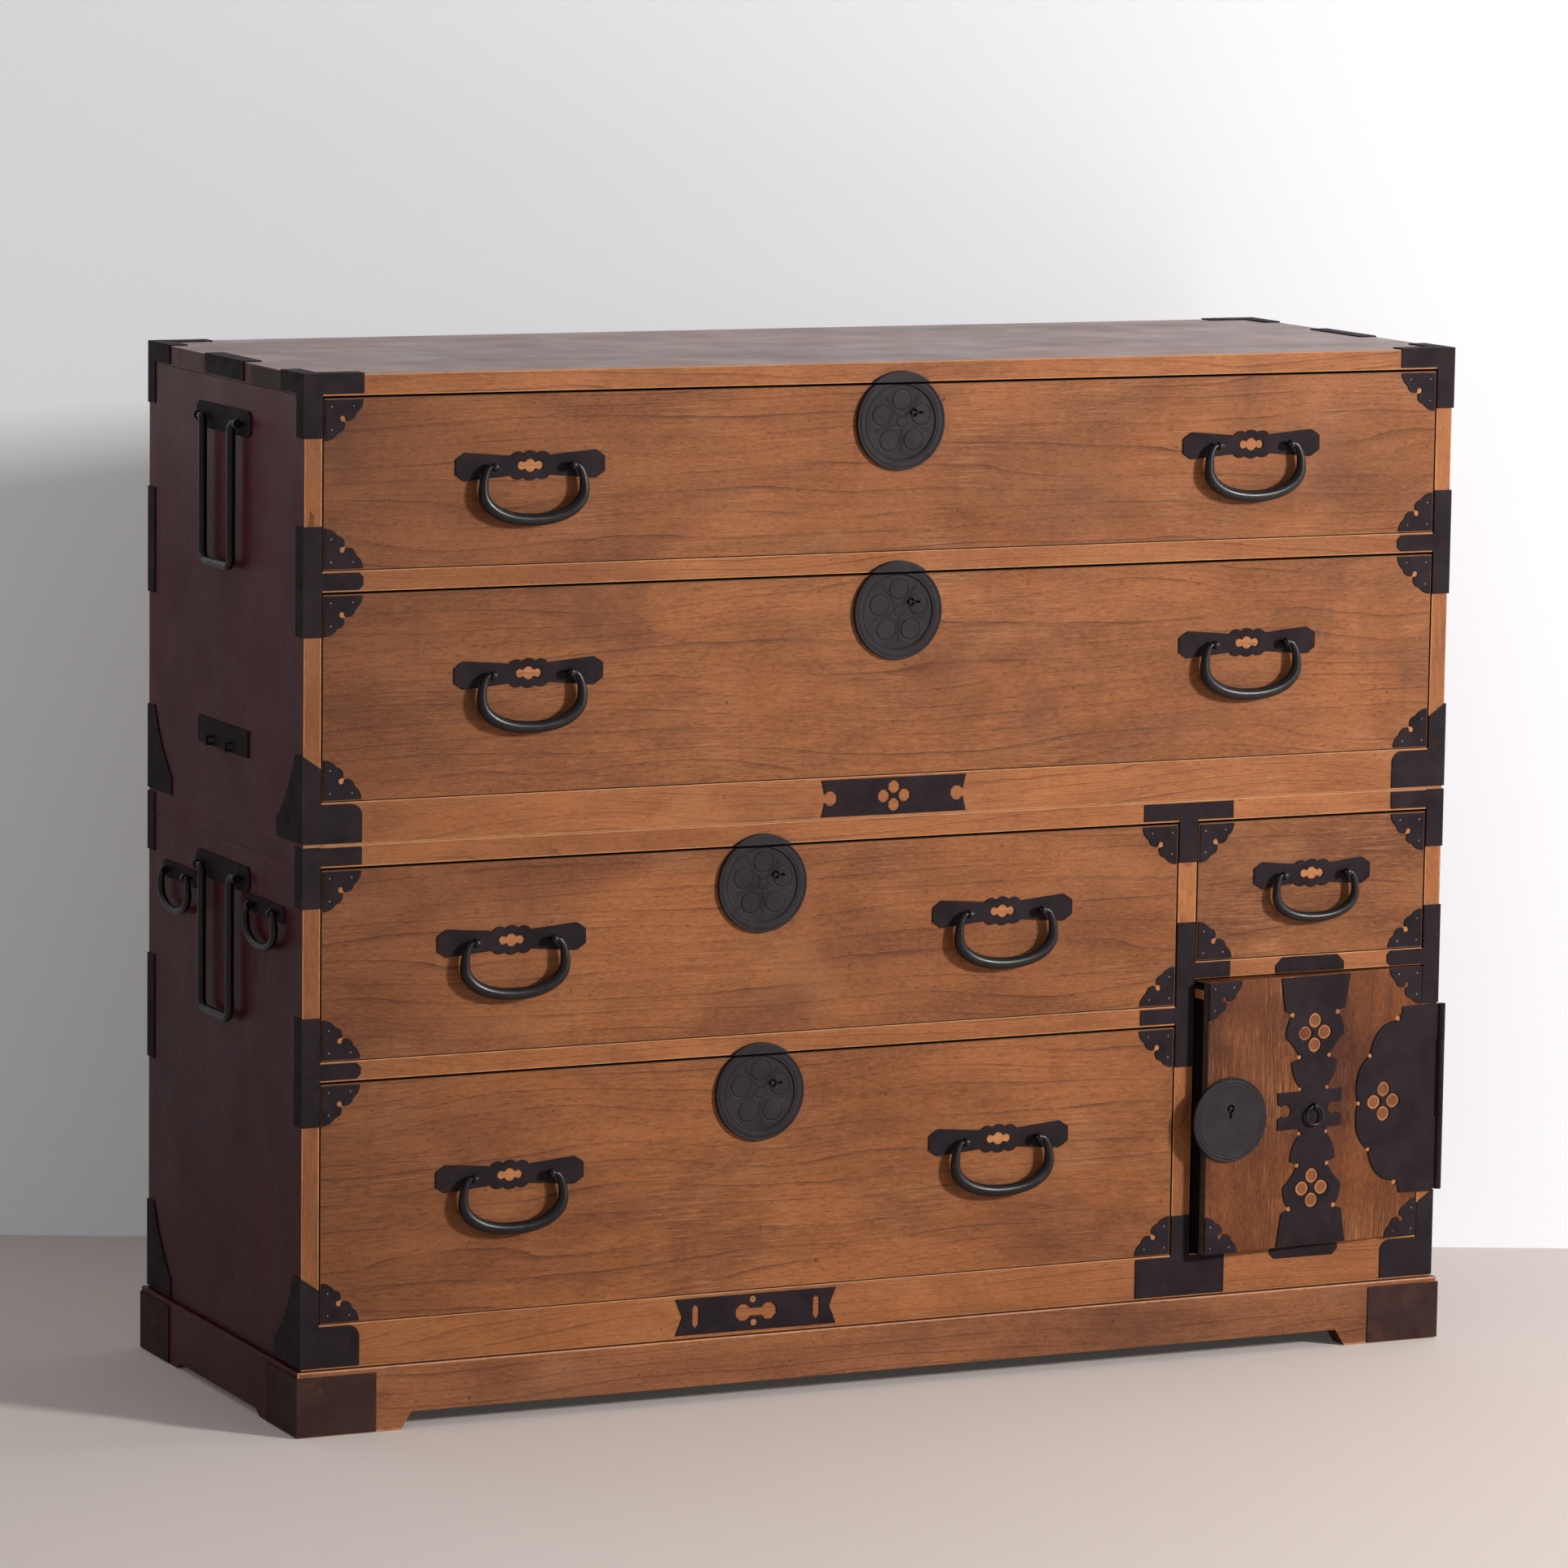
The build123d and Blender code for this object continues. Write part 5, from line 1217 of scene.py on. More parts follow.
@dataclass
class HandlePlate:
    """A bow-tie plate with a lobed rosette in its middle, pierced with a small cloud."""

    length: float = 147.0 * MM
    end: float = 26.0 * MM
    waist: float = 14.6 * MM
    chamfer: tuple[float, float] = (9.0 * MM, 6.0 * MM)
    thick: float = 1.6 * MM
    ease: float = 0.4 * MM
    lobes: tuple[tuple[float, float, float], ...] = (
        (0, 0, 11.6), (0, -5.3, 8.4), (0, 5.3, 8.4), (-12.0, -5.0, 7.8), (-12.0, 5.0, 7.8), (12.0, -5.0, 7.8),
        (12.0, 5.0, 7.8))
    cloud: tuple[tuple[float, float, float], ...] = ((0, 0, 6.0), (-8.6, 0, 4.0), (8.6, 0, 4.0))

    def reach(self, circles: tuple[tuple[float, float, float], ...], turn: np.ndarray) -> np.ndarray:
        """How far a union of circles reaches from the middle in each direction.

        For a circle of radius R about c and a direction d, that is c.d + sqrt(R^2 - |c|^2 + (c.d)^2).

        Args:
            circles: (x, y, radius) of each circle in millimetres.
            turn: the directions' angles.

        Returns:
            The largest reach for each angle, 0 where no circle is met.
        """
        x, y, radius = (np.array(circles) * MM).T[:, :, None]
        along = x * np.cos(turn) + y * np.sin(turn)
        inside = radius ** 2 - (x ** 2 + y ** 2) + along ** 2
        far = np.where(inside > 0, along + np.sqrt(np.maximum(inside, 0)), 0)
        return far.max(axis=0)

    def outlines(self, middle: tuple[float, float]) -> list[np.ndarray]:
        """The plate's outline and its piercing about a middle in (u, v).

        Args:
            middle: where the plate's middle is.

        Returns:
            The two outlines.
        """
        turn = np.linspace(0, 2 * math.pi, 721)[:-1]
        way = np.stack([np.cos(turn), np.sin(turn)], axis=1)
        half, end, waist = self.length / 2, self.end / 2, self.waist / 2
        cut_u, cut_v = self.chamfer
        slope = np.array([-(end - waist), half - cut_u])
        corner = np.array([cut_v, cut_u])
        slope /= np.linalg.norm(slope)
        corner /= np.linalg.norm(corner)
        flats = [(np.array([1.0, 0.0]), half), (slope, waist * slope[1]),
                 (corner, np.array([half, end - cut_v]) @ corner)]
        ahead = np.abs(way)
        reach = np.full(len(turn), np.inf)
        for normal, gap in flats:
            facing = ahead @ normal
            reach = np.minimum(reach, np.where(facing > 1e-9, gap / np.maximum(facing, 1e-9), np.inf))
        lines = (np.maximum(reach, self.reach(self.lobes, turn)), self.reach(self.cloud, turn))
        return [np.array(middle) + way * line[:, None] for line in lines]


@dataclass
class RoundLock:
    """A round lock plate with a raised rim, an engraved plum blossom and a keyhole."""

    radius: float = 44.8 * MM
    thick: float = 3.0 * MM
    rim: float = 10.0 * MM
    rise: float = 1.5 * MM
    petal: float = 9.6 * MM
    petal_at: float = 21.0 * MM
    key: tuple[float, float] = (12.8 * MM, 8.6 * MM)
    upright_key: bool = False
    blossom: bool = True
    rim_soft: float = 1.6 * MM
    rim_line: float = 2.2 * MM
    edge_line: float = 2.4 * MM
    heart: float = 5.0 * MM
    stem: tuple[float, float] = (6.5 * MM, 29.0 * MM)
    key_rings: tuple[float, float] = (2.0 * MM, 3.9 * MM)
    key_slot: tuple[float, float] = (9.5 * MM, 1.1 * MM)
    key_floor: float = 0.4 * MM

    def height(self, u: np.ndarray, v: np.ndarray) -> np.ndarray:
        """How far the plate stands out at (u, v) from its middle.

        The rim is a smooth step of its rise with two fine grooves, a groove at distance d from its line is
        -g exp(-(d / s)^2), each petal lifts by a smooth step inside its circle, and the keyhole sinks.

        Args:
            u: across.
            v: up.

        Returns:
            The height above the wood.
        """
        far = np.hypot(u, v)

        def step(value: np.ndarray, edge: float, soft: float) -> np.ndarray:
            """A smooth step from 0 to 1 about an edge: t^2 (3 - 2 t)."""
            t = np.clip((value - edge) / soft + 0.5, 0, 1)
            return t * t * (3 - 2 * t)

        def groove(distance: np.ndarray, deep: float, wide: float) -> np.ndarray:
            """A fine groove along a line."""
            return -deep * np.exp(-(distance / wide) ** 2)

        tall = self.thick + self.rise * step(far, self.radius - self.rim, self.rim_soft)
        tall = tall + groove(far - self.radius + self.rim - self.rim_line, 0.35 * MM, 0.5 * MM)
        tall = tall + groove(far - self.radius + self.edge_line, 0.4 * MM, 0.5 * MM)
        if self.blossom:
            for index in range(5):
                turn = math.radians(90 + 72 * index)
                du, dv = u - self.petal_at * math.cos(turn), v - self.petal_at * math.sin(turn)
                gap = np.hypot(du, dv) - self.petal
                tall = tall + 0.35 * MM * (1 - step(gap, 0.0, 1.0 * MM)) + groove(gap, 0.55 * MM, 0.6 * MM)
                stem = math.radians(126 + 72 * index)
                along = u * math.cos(stem) + v * math.sin(stem)
                off = np.abs(-u * math.sin(stem) + v * math.cos(stem)) - 0.9 * MM
                shown = step(along, self.stem[0], 1.0 * MM) * (1 - step(along, self.stem[1], 2.0 * MM))
                tall = tall + shown * groove(off, 0.4 * MM, 0.45 * MM)
            tall = tall + groove(far - self.heart, 0.5 * MM, 0.55 * MM)
            tall = tall + 0.3 * MM * (1 - step(far, self.heart, 1.0 * MM))
        ku, kv = u - self.key[0], v - self.key[1]
        ring = np.hypot(ku, kv)
        run, across = (-kv, ku) if self.upright_key else (ku, kv)
        inner, outer = self.key_rings
        long, half = self.key_slot
        slot = (run > 0) & (run < long) & (np.abs(across) < half) & (ring > inner + 0.2 * MM)
        hole = ((ring < outer) & (ring > inner)) | slot
        pin = self.thick + 0.3 * MM - 0.5 * (ring / inner) ** 2 * MM
        tall = np.where(hole, self.key_floor, np.where(ring <= inner, pin, tall))
        return tall * np.where(far > self.radius - 0.4 * MM, 0.9, 1.0)

    def disc(self, face: Face, middle: tuple[float, float],
             top: float | None) -> list[tuple[np.ndarray, np.ndarray]]:
        """The plate as a grid of rings, cut off level above a height.

        With R(a) = min(r, top / sin a), a point is s R(a) (cos a, sin a) at the height there, s from 0 to 1,
        and two more rings fold it down to the wood.

        Args:
            face: the face that carries it.
            middle: its middle in (u, v).
            top: how far above its middle it is cut off, or None.

        Returns:
            Points and faces for join().
        """
        turn = np.linspace(0, 2 * math.pi, 360, endpoint=False)
        reach = np.full(len(turn), self.radius)
        if top is not None:
            rising = np.sin(turn) > 1e-6
            reach[rising] = np.minimum(self.radius, top / np.sin(turn[rising]))
        share = np.concatenate([np.linspace(0, 1, 110) ** 0.85, [1.0, 1.0]])
        u = share[:, None] * reach * np.cos(turn)
        v = share[:, None] * reach * np.sin(turn)
        w = self.height(u, v)
        w[-2] = w[-3]
        w[-1] = 0.0
        points = np.stack([u + middle[0], v + middle[1], w], axis=-1).reshape(-1, 3)
        return [(face.place(points), grid_faces(len(share), len(turn), True))]

    def cap(self, face: Face, middle: tuple[float, float],
            bottom: float) -> list[tuple[np.ndarray, np.ndarray]]:
        """The part of the circle above a level line, as columns from the line to the arc.

        A point is (x, c + t (sqrt(r^2 - x^2) - c)), with x along the line and t from 0 to 1.

        Args:
            face: the face that carries it.
            middle: the circle's middle in (u, v).
            bottom: how far above the middle the line is.

        Returns:
            Points and faces for join().
        """
        half = math.sqrt(self.radius ** 2 - bottom ** 2) * 0.998
        x = half * np.sin(np.linspace(-math.pi / 2, math.pi / 2, 160))
        share = np.concatenate([[0.0, 0.0], np.linspace(0, 1, 26), [1.0, 1.0]])[:, None]
        u = np.broadcast_to(x, (len(share), len(x)))
        v = bottom + share * (np.sqrt(self.radius ** 2 - x ** 2) - bottom)
        edge = np.minimum(self.radius - np.hypot(u, v), 1.2 * MM) / (1.2 * MM)
        w = self.thick + self.rise * (0.55 + 0.45 * np.sqrt(np.clip(edge, 0, 1)))
        w[[0, -1]] = 0.0
        points = np.stack([u + middle[0], v + middle[1], w], axis=-1).reshape(-1, 3)
        return [(face.place(points), grid_faces(len(share), len(x), False)[:, ::-1])]


@dataclass
class Drawers:
    """The five drawers' irons: plates, eyes, handles, nails and locks."""

    finishes: Finishes
    quarter: QuarterPlate = field(default_factory=QuarterPlate)
    lock: RoundLock = field(default_factory=RoundLock)
    board: float = 18.0 * MM
    plate: float = 1.2 * MM
    cloud_wood: tuple[float, float] = (13.2 * MM, 6.6 * MM)
    hole_wood: tuple[float, float] = (3.3 * MM, 3.3 * MM)
    lock_down: float = 35.0 * MM
    catch_rise: float = 2.7 * MM
    catch_gap: float = 2.2 * MM

    def irons(self, name: str, handles: list[str], plate: HandlePlate, handle: DropHandle) -> None:
        """Makes the plates, eyes, nails and handles of one drawer.

        Args:
            name: the drawer.
            handles: its handles' nodes.
            plate: the plates behind them.
            handle: the handles' sizes.
        """
        low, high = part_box(name + "_front")
        inset = self.quarter.inset
        span = (low[0] + inset, low[2] + inset), (high[0] - inset, high[2] - inset)
        node = name + "_irons"
        own = self.finishes
        quarters = cut_plates(name + "_quarter_plates", FRONT, self.quarter.outlines(*span), self.plate)
        dress(quarters, node, "black_iron", own.iron)
        middles = [FRONT.local(JOINTS[h + "_swing"]["pos_m"]) for h in handles]
        outlines = [line for u, v, _ in middles for line in plate.outlines((u, v))]
        plates = cut_plates(name + "_handle_plates", FRONT, outlines, plate.thick, plate.ease)
        dress(plates, node, "black_iron", own.iron, stands_for=False)
        pins = [m + [side * handle.pins / 2, 0, 0] for m in middles for side in (-1, 1)]
        eyes = join(name + "_eyes", Eye().parts(FRONT, pins, self.board, True))
        dress(eyes, node, "black_iron", own.forged, stands_for=False)
        nails = join(name + "_nails", nail_heads(FRONT, self.quarter.nail_places(*span), self.plate))
        dress(nails, node, "black_iron", own.bright, stands_for=False)
        shown = [patch_of(FRONT, (u, v), self.cloud_wood) for u, v, _ in middles]
        shown += [patch_of(FRONT, place + self.quarter.hole_at * way, self.hole_wood)
                  for place, way in self.quarter.corners(*span)]
        dress(join(name + "_unfaded", shown), name + "_front", "front_wood", own.unfaded, stands_for=False,
              grain=Grain.ACROSS_FRONT)
        for node in handles:
            handle.build(node, FRONT, own.forged)

    def round_lock(self, name: str, case: str) -> None:
        """Makes one drawer's lock plate and its catch on the rail above.

        Args:
            name: the drawer.
            case: the case that carries the catch.
        """
        low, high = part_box(name + "_lock_plate")
        u, v = (low[0] + high[0]) / 2, high[2] - self.lock_down
        node = name + "_lock_plate"
        disc = join(name + "_lock", self.lock.disc(FRONT, (u, v), self.lock_down), LOCK_CREASE)
        dress(disc, node, "black_iron", self.finishes.engraved)
        bottom = high[2] + self.catch_gap - (v + self.catch_rise)
        cap = join(name + "_catch", self.lock.cap(FRONT, (u, v + self.catch_rise), bottom), LOCK_CREASE)
        dress(cap, case + "_front_irons", "black_iron", self.finishes.engraved, stands_for=False)

    def build(self) -> None:
        """Makes every drawer's irons."""
        for name in LARGE_DRAWERS:
            self.irons(name, [f"{name}_bail_left", f"{name}_bail_right"], HandlePlate(), DropHandle())
            self.round_lock(name, "upper" if name in LARGE_DRAWERS[:2] else "lower")
        small = DropHandle(pins=69 * MM, half_width=43.0 * MM, shoulder=18 * MM, drop=41.5 * MM, bar=4.8 * MM,
                           swell=42 * MM)
        self.irons("small_drawer", ["small_drawer_bail"], HandlePlate(length=127 * MM), small)


@dataclass
class SideFittings:
    """Carrying handles, small bails, their plates and eyes on both sides."""

    finishes: Finishes
    ease: float = 0.35 * MM
    board: float = 17.3 * MM

    def eyes(self, low: np.ndarray, high: np.ndarray) -> np.ndarray:
        """Tells which solids aren't eyes: an eye reaches through the board behind the plates."""
        inner = np.minimum(np.abs(low[:, 0]), np.abs(high[:, 0]))
        return inner > SIDE_X - 2 * MM

    def build(self) -> None:
        """Makes the side fittings."""
        own = self.finishes
        small = DropHandle(pins=56 * MM, half_width=36.6 * MM, shoulder=15 * MM, drop=34.5 * MM, bar=3.5 * MM,
                           swell=20 * MM, fullness=2.1)
        for side, face in (("right", RIGHT), ("left", LEFT)):
            for case in CASES:
                CarryingHandle().build(f"{case}_handle_{side}", face, own.forged)
            for place in ("front", "rear"):
                node = f"side_bail_{side}_{place}"
                small.build(node, face, own.forged)
        for case in CASES:
            node = case + "_handle_mounts"
            plates = copied(node, case + "_side_plates", self.ease, IRON_FLAT, self.eyes)
            dress(plates, node, "black_iron", own.iron)
            parts = []
            for side, face in (("right", RIGHT), ("left", LEFT)):
                hung = [(f"{case}_handle_{side}_swing", CarryingHandle().pins)]
                if case == "lower":
                    hung += [(f"side_bail_{side}_{place}_swing", small.pins) for place in ("front", "rear")]
                pins = [face.local(JOINTS[joint]["pos_m"]) + [way * span / 2, 0, 0]
                        for joint, span in hung for way in (-1, 1)]
                parts += Eye().parts(face, pins, self.board, False)
            dress(join(case + "_side_eyes", parts), node, "black_iron", own.forged, stands_for=False)


def bow(start: tuple[float, float], middle: tuple[float, float], end: tuple[float, float],
        count: int = 12) -> np.ndarray:
    """A parabola through three points: (1 - t)^2 a + 2 t (1 - t) c + t^2 b, with c = 2 m - (a + b) / 2."""
    share = np.linspace(0, 1, count)[:, None]
    first, last = np.array(start), np.array(end)
    pull = 2 * np.array(middle) - (first + last) / 2
    return (1 - share) ** 2 * first + 2 * share * (1 - share) * pull + share ** 2 * last


@dataclass
class Strap:
    """The door's long strap in millimetres: end blocks, pierced roses, horned buds and a cross bar."""

    top: float = 131.3
    end: float = 39.3
    neck: tuple[float, float] = (34.4, 99.0)
    rose_hole: tuple[float, float, float] = (25.5, 94.8, 2.6)
    rose_side: tuple[float, float] = (31.6, 84.0)
    rose_tip: tuple[float, float] = (33.0, 73.0)
    rose_under: tuple[float, float] = (25.2, 65.2)
    foot_hole: tuple[float, float, float] = (16.8, 53.0, 2.2)
    horn: tuple[float, float] = (25.6, 48.8)
    bud_side: tuple[float, float] = (23.6, 36.0)
    bar_hole: tuple[float, float, float] = (15.2, 21.7, 1.9)
    bar: tuple[float, float] = (36.4, 18.2)
    bar_shift: tuple[float, float] = (-4.5, 1.3)
    mouth: tuple[float, float] = (7.0, 4.8)
    bite: tuple[float, float] = (9.0, 6.2)
    petals_at: float = 76.0
    petal_out: tuple[float, float] = (11.0, 12.0)
    petal: float = 7.1

    def quarter(self) -> np.ndarray:
        """The edge from the upper end block down to the cross bar, on the right."""
        rose, foot, low = self.rose_hole, self.foot_hole, self.bar_hole
        in_rose = arc(rose[:2], rose[2], 35, 315, 14)
        in_foot = arc(foot[:2], foot[2], 55, 300, 12)
        in_low = arc(low[:2], low[2], 65, 295, 10)
        return np.concatenate([[(self.end, self.top), self.neck], in_rose,
                               bow(in_rose[-1], self.rose_side, self.rose_tip),
                               bow(self.rose_tip, self.rose_under, in_foot[0]), in_foot,
                               bow(self.horn, self.bud_side, in_low[0]), in_low])

    def half(self, side: int) -> np.ndarray:
        """The edge of one side from top to bottom; side is 1 or -1."""
        quarter = self.quarter()
        reach = self.bar[0] + side * self.bar_shift[0]
        high, rise = self.bar[1], self.bar_shift[1]
        open_half = math.degrees(math.asin(self.mouth[1] / self.bite[1]))
        bite = arc((reach - self.bite[0], rise), self.bite[1], open_half, 360 - open_half, 24)
        bar_top = [(quarter[-1][0], rise + high), (reach, rise + high), (reach, rise + self.mouth[0])]
        bar_foot = [(x, 2 * rise - y) for x, y in bar_top[::-1]]
        edge = np.concatenate([quarter, bar_top, bite, bar_foot, quarter[::-1] * [1, -1]])
        return edge * [side, 1]

    def petals(self, middle: tuple[float, float]) -> list[np.ndarray]:
        """Four pointed petals: r (1 + 0.14 e^-(s / 0.4)^2), with s the angle from the petal's own line.

        Args:
            middle: the middle of the four.

        Returns:
            Four outlines.
        """
        turn = np.linspace(0, 2 * math.pi, 41)[:-1]
        off = np.abs((turn + math.pi / 2) % math.pi - math.pi / 2)
        reach = self.petal * (1 + 0.14 * np.exp(-(off / 0.4) ** 2))
        found = []
        for quarter in range(4):
            lean = quarter * math.pi / 2
            away = np.array([math.cos(lean), math.sin(lean)]) * np.array(self.petal_out)
            ring = np.stack([np.cos(turn + lean), np.sin(turn + lean)], axis=1) * reach[:, None]
            found.append(np.array(middle) + away + ring)
        return found

    def outlines(self, middle: tuple[float, float]) -> list[np.ndarray]:
        """The strap's outline and its eight petals about a middle in metres.

        Args:
            middle: the strap's middle in (u, v).

        Returns:
            The outlines in (u, v).
        """
        edge = np.concatenate([self.half(1), self.half(-1)[::-1]])
        holes = [petal for way in (1, -1) for petal in self.petals((0.0, way * self.petals_at))]
        return [np.array(middle) + line * MM for line in (edge, *holes)]


@dataclass
class Leaf:
    """The half-round hinge plate in millimetres: u from the hinge's axis, v from its middle."""

    up: float = 2.6 * MM
    half_height: float = 92.9
    right: float = -5.5
    head: tuple[float, float] = (-44.3, 91.6)
    first: tuple[float, float, float] = (-49.6, 80.6, 2.6)
    crown: tuple[float, float] = (-70.8, 70.4)
    second: tuple[float, float, float] = (-80.8, 45.8, 2.3)
    flank: tuple[float, float] = (-95.0, 27.0)
    third: tuple[float, float, float] = (-93.0, 0.0, 2.3)
    rose: float = -64.8
    lip: tuple[float, float] = (3.4, 1.2)

    def holes(self) -> list[tuple[float, float, float]]:
        """The middles and radii of the five holes at the cusps."""
        return [(u, way * v, r) for u, v, r in (self.first, self.second) for way in (1, -1)] + [self.third]

    def outline(self) -> np.ndarray:
        """The outline: two lobes above and two below, with open holes between, and a straight hinge edge."""
        one, two, three = self.first, self.second, self.third
        in_one = arc(one[:2], one[2], 75, -140, 12)
        in_two = arc(two[:2], two[2], 105, -165, 12)
        in_three = arc(three[:2], three[2], 140, 0, 8)
        upper = np.concatenate([[(self.right, self.half_height), self.head], in_one[:1] + self.lip, in_one,
                                bow(in_one[-1], self.crown, in_two[0]), in_two,
                                bow(in_two[-1], self.flank, in_three[0]), in_three])
        return np.concatenate([upper, upper[-2::-1] * [1, -1]])


@dataclass
class Door:
    """The small door's irons: pierced strap, quarter plates, ring, lock plate and hinge."""

    finishes: Finishes
    quarter: QuarterPlate = field(default_factory=QuarterPlate)
    width: tuple[float, float] = (-270.0 * MM, -23.4 * MM)
    height: tuple[float, float] = (104.0 * MM, 368.8 * MM)
    chamfer: float = 4.0 * MM
    ring: float = 9.0 * MM
    wire: float = 1.35 * MM
    lock_in: float = 29.0 * MM
    lock_low: float = 2.0 * MM
    ease: float = 0.35 * MM
    strap: Strap = field(default_factory=Strap)
    strap_right: float = 1.2 * MM
    leaf: Leaf = field(default_factory=Leaf)
    plate: float = 1.2 * MM
    strap_thick: float = 1.5 * MM
    leaf_thick: float = 1.6 * MM
    board: float = 20.0 * MM
    eye: tuple[float, float] = (1.45 * MM, 3.0 * MM)
    pad: tuple[float, float] = (6.8 * MM, 0.2 * MM)
    core: tuple[float, float] = (5.2 * MM, 0.4 * MM)
    tenon: tuple[float, float] = (14.8 * MM, 8.8 * MM)
    tenon_at: tuple[float, float] = (12.0 * MM, 12.0 * MM)

    def pads(self, face: Face, rose: np.ndarray, size: float,
             lift: float) -> list[tuple[np.ndarray, np.ndarray]]:
        """The four swellings of wood inside a rose's petals, size across and lift high."""
        across, up = np.array(self.strap.petal_out) * MM
        ways = [(across, 0.0), (0.0, up), (-across, 0.0), (0.0, -up)]
        return [patch_of(face, rose + np.array(way), (size, size), lift) for way in ways]

    def edge_tenon(self, face: Face) -> None:
        """Makes the clamp's pale tenon end that shows in the door's edge, which is painted black as shade,
        near the top.
        """
        corner = face.place(np.array([self.width[0], 0.0, 0.0]))
        edge = Face(tuple(corner), tuple(-v for v in face.out), tuple(-v for v in face.across))
        middle = np.array([self.tenon_at[0], self.height[1] - self.tenon_at[1]])
        square = np.array([(-1, -1), (1, -1), (1, 1), (-1, 1)]) * np.array(self.tenon) / 2
        piece = cut_plates("door_edge_tenon", edge, [middle + square], 0.4 * MM)
        dress(piece, "door_panel", "door_wood", self.finishes.unfaded, stands_for=False,
              grain=Grain.ACROSS_FRONT)

    def hinge(self, face: Face) -> None:
        """Makes the hinge: the scalloped plate on the door, its knuckles and pin, and the case's leaf."""
        iron = self.finishes.iron
        middle = sum(self.height) / 2 + self.leaf.up
        petals = self.strap.petals((self.leaf.rose, 0.0))
        lines = [line * MM + [0.0, middle] for line in (self.leaf.outline(), *petals)]
        plate = cut_plates("door_hinge_leaf_plate", face, lines, self.leaf_thick)
        dress(plate, "door_hinge_leaf", "black_iron", iron)
        knuckles = copied("door_hinge_leaf", "door_hinge_knuckles", self.ease, IRON_FLAT)
        cut_back(knuckles.data, face.place(np.array([self.leaf.right * MM, 0.0, 0.0])), face.across)
        dress(knuckles, "door_hinge_leaf", "black_iron", iron, stands_for=False)
        node = "door_hinge_case_leaf"
        dress(copied(node, node + "_plate", self.ease, IRON_FLAT), node, "black_iron", iron)

    def woodwork(self, face: Face, centre: tuple[float, float]) -> None:
        """Makes the wood that shows in the piercings: petals with pale rims and dots in the cusps' holes.

        Args:
            face: the door's face.
            centre: the strap's middle in (u, v).
        """
        own, strap = self.finishes, self.strap
        roses = [np.array(centre) + [0.0, way * strap.petals_at * MM] for way in (1, -1)]
        leaf_middle = np.array([0.0, sum(self.height) / 2 + self.leaf.up])
        roses.append(leaf_middle + [self.leaf.rose * MM, 0.0])
        pale = [part for rose in roses for part in self.pads(face, rose, *self.pad)]
        for u, v, radius in (strap.rose_hole, strap.foot_hole, strap.bar_hole):
            pale += [patch_of(face, np.array(centre) + np.array([i * u, j * v]) * MM,
                              (radius * MM, radius * MM)) for i in (1, -1) for j in (1, -1)]
        pale += [patch_of(face, leaf_middle + np.array([u, v]) * MM, (radius * MM, radius * MM))
                 for u, v, radius in self.leaf.holes()]
        dark = [part for rose in roses for part in self.pads(face, rose, *self.core)]
        for name, parts, finish in (("petal_rims", pale, own.unfaded), ("petals", dark, own.petal)):
            dress(join("door_" + name, parts), "door_panel", "door_wood", finish, stands_for=False,
                  grain=Grain.UPRIGHT)

    def build(self) -> None:
        """Makes the door's irons."""
        own = self.finishes
        face = door_face()
        low, high = (self.width[0] + self.chamfer, self.height[0]), (self.width[1], self.height[1])
        centre = (sum(self.width) / 2 + self.strap_right, sum(self.height) / 2)
        strap = cut_plates("door_strap", face, self.strap.outlines(centre), self.strap_thick)
        dress(strap, "door_irons", "black_iron", own.iron)
        self.woodwork(face, centre)
        self.edge_tenon(face)
        self.hinge(face)
        plates = cut_plates("door_quarter_plates", face, self.quarter.outlines(low, high), self.plate)
        dress(plates, "door_irons", "black_iron", own.iron, stands_for=False)
        nails = join("door_nails", nail_heads(face, self.quarter.nail_places(low, high), self.plate))
        dress(nails, "door_irons", "black_iron", own.bright, stands_for=False)
        pivot = face.local(JOINTS["door_ring_swing"]["pos_m"])
        eye = Eye().parts(face, [pivot], self.board, True, *self.eye)
        dress(join("door_eye", eye), "door_irons", "black_iron", own.forged, stands_for=False)
        turn = np.linspace(0, 2 * math.pi, 73)
        hoop = pivot + np.stack([self.ring * np.sin(turn), self.ring * (np.cos(turn) - 1), 0 * turn], axis=1)
        wire = np.full(len(hoop), self.wire)
        ring = join("door_ring_hoop", [swept(face.place(hoop), face.out, wire, wire, 12)])
        dress(ring, "door_ring", "black_iron", own.forged)
        middle = (self.width[0] + self.lock_in, sum(self.height) / 2 - self.lock_low)
        lock = RoundLock(radius=41 * MM, rim=8 * MM, rise=0.2 * MM, key=(0.0, 11 * MM), upright_key=True,
                         blossom=False)
        disc = join("door_lock", lock.disc(face, middle, None), LOCK_CREASE)
        dress(disc, "door_lock_plate", "black_iron", own.engraved)


# ---------------------------------------------------------------- studio


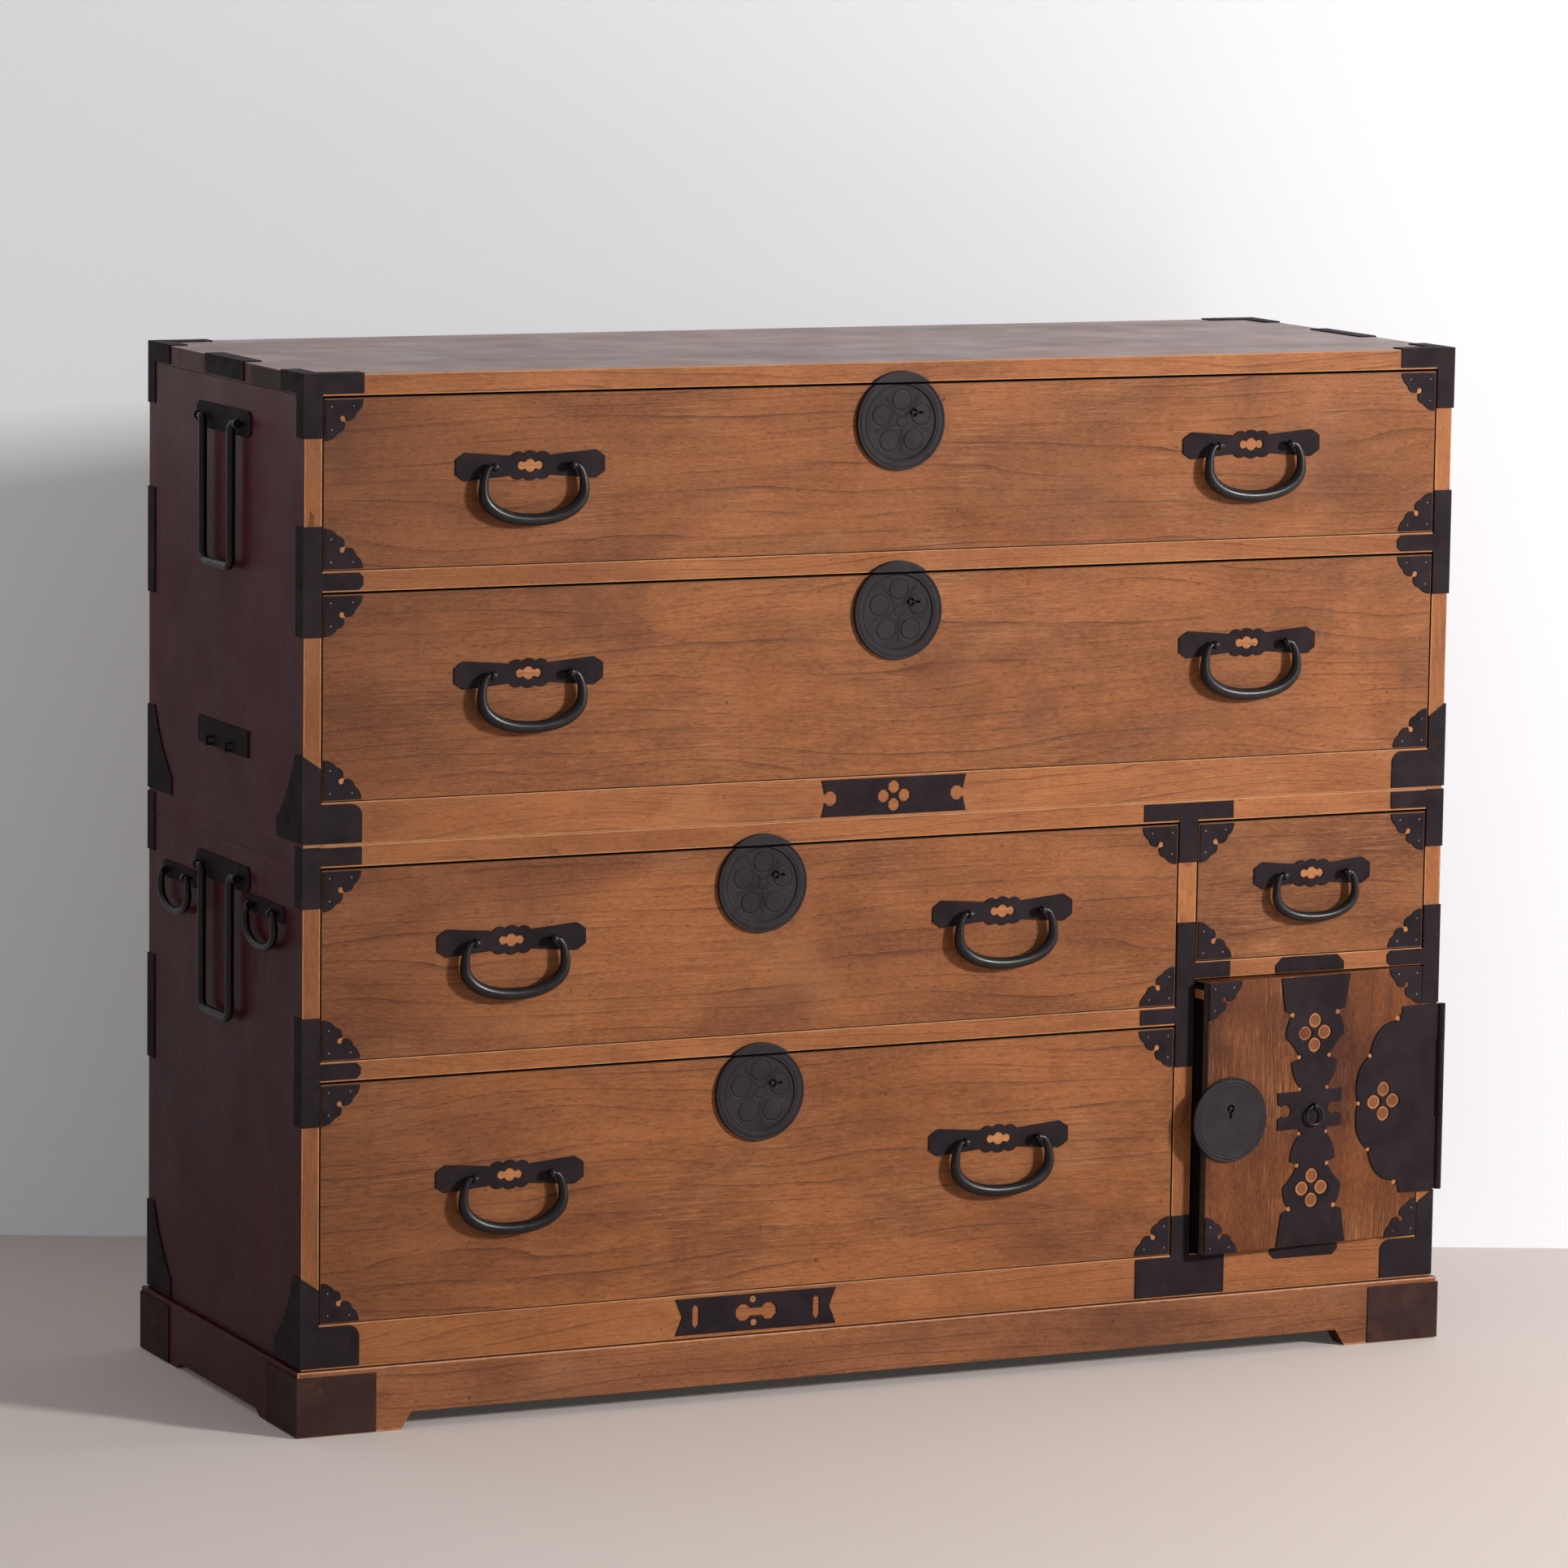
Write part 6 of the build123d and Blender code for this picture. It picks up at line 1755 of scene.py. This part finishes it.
@dataclass
class Studio:
    """A pale floor and wall, soft light from the front right, and the camera."""

    camera_at: tuple[float, float, float] = (-2.89402843, -6.1612452, 1.48904838)
    camera_turn: tuple[float, float, float] = (82.1240266, -0.76884219, -24.87968239)
    lens: float = 164.6776
    wall_point: tuple[float, float] = (0.202, 0.4525)
    wall_normal: tuple[float, float] = (-0.3998, -0.9166)
    reach: float = 14.0
    sky_colour: Colour = (0.97, 0.98, 1.0)
    sky_strength: float = 0.34
    sky_shown: float = 0.8
    key_at: tuple[float, float, float] = (2.9, -4.0, 2.1)
    key_size: float = 0.6
    key_power: float = 255.0
    key_colour: Colour = (1.0, 0.985, 0.96)

    def camera(self) -> None:
        """Sets the camera."""
        data = bpy.data.cameras.new("camera")
        data.lens = self.lens
        data.sensor_width = 36
        data.clip_end = 100
        eye = linked("camera", data)
        eye.location = self.camera_at
        eye.rotation_euler = [math.radians(v) for v in self.camera_turn]
        bpy.context.scene.camera = eye

    def backdrop_material(self, name: str, colour: Colour, glow: float) -> bpy.types.Material:
        """A plain painted surface that shows a little brighter to the camera, and not at all from behind.

        Args:
            name: the material's name.
            colour: its colour.
            glow: what is added for camera and glossy rays, 0 to 1.

        Returns:
            The material.
        """
        pen = NodePen(name)
        pen.shader.inputs["Roughness"].default_value = 0.9
        pen.shader.inputs["Specular IOR Level"].default_value = 0.1
        mottle = pen.span(pen.noise(pen.object_point(), 1.6, 2.0), 0.3, 0.7, 0.97, 1.0)
        tone = pen.mix(mottle, [part * 0.95 for part in colour], colour)
        pen.put(pen.shader.inputs["Base Color"], tone)
        seen = pen.node("LightPath", {})
        shown = pen.math("MAXIMUM", seen.outputs["Is Camera Ray"], seen.outputs["Is Glossy Ray"])
        pen.put(pen.shader.inputs["Emission Color"], tone)
        pen.put(pen.shader.inputs["Emission Strength"], pen.math("MULTIPLY", shown, glow))
        behind = pen.node("NewGeometry", {}).outputs["Backfacing"]
        clear = pen.node("BsdfTransparent", {}).outputs[0]
        sides = pen.node("MixShader", {0: behind, 1: pen.shader.outputs[0], 2: clear}).outputs[0]
        pen.put(pen.tree.nodes["Material Output"].inputs["Surface"], sides)
        return pen.material

    def sky(self) -> None:
        """Makes the even light from all sides, which is paler where the camera looks past the wall."""
        world = bpy.data.worlds.new("studio")
        world.use_nodes = True
        tree = world.node_tree
        ground = tree.nodes["Background"]
        ground.inputs["Color"].default_value = (*self.sky_colour, 1.0)
        seen = tree.nodes.new("ShaderNodeLightPath")
        level = tree.nodes.new("ShaderNodeMapRange")
        level.inputs["To Min"].default_value = self.sky_strength
        level.inputs["To Max"].default_value = self.sky_shown
        tree.links.new(seen.outputs["Is Camera Ray"], level.inputs["Value"])
        tree.links.new(level.outputs[0], ground.inputs["Strength"])
        bpy.context.scene.world = world

    def plane(self, name: str, corners: list[tuple[float, float, float]],
              material: bpy.types.Material) -> None:
        """Adds one flat stage piece.

        Args:
            name: its name.
            corners: its four corners.
            material: its material.
        """
        mesh = bpy.data.meshes.new(name)
        mesh.from_pydata(corners, [], [(0, 1, 2, 3)])
        mesh.materials.append(material)
        linked(name, mesh)

    def build(self) -> None:
        """Makes the camera, the floor, the wall and the lights."""
        self.camera()
        far = self.reach
        nx, ny = self.wall_normal
        px, py = self.wall_point
        floor = self.backdrop_material("floor_paint", rgb(214, 203, 197), 0.06)
        wall = self.backdrop_material("wall_paint", rgb(240, 242, 247), 0.08)
        self.plane("floor", [(-far, -far, 0), (far, -far, 0), (far, far, 0), (-far, far, 0)], floor)
        along = (-ny, nx)
        ends = [(px + s * far * along[0], py + s * far * along[1]) for s in (-1, 1)]
        self.plane("wall", [(*ends[0], 0), (*ends[1], 0), (*ends[1], 5.0), (*ends[0], 5.0)], wall)
        self.sky()
        self.lamp("key", self.key_at, (0, 0, 0.5), self.key_size, self.key_power, self.key_colour)

    def lamp(self, name: str, place: tuple[float, float, float], aim: tuple[float, float, float],
             size: float, power: float, colour: Colour) -> None:
        """Adds one square area lamp.

        Args:
            name: its name.
            place: where it stands.
            aim: the point it looks at.
            size: its side in metres.
            power: its power in watts.
            colour: its colour.
        """
        data = bpy.data.lights.new(name, "AREA")
        data.size = size
        data.energy = power
        data.color = colour
        lamp = linked(name, data)
        lamp.location = place
        lamp.rotation_euler = (Vector(aim) - Vector(place)).to_track_quat("-Z", "Y").to_euler()


def main() -> None:
    """Builds the chest's looks piece by piece."""
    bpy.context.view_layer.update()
    bpy.context.scene.view_settings.view_transform = "Standard"
    Studio().build()
    finishes = Finishes()
    for part in (Boards, CaseIrons, Drawers, SideFittings, Door):
        part(finishes).build()


if __name__ == "__main__":
    main()
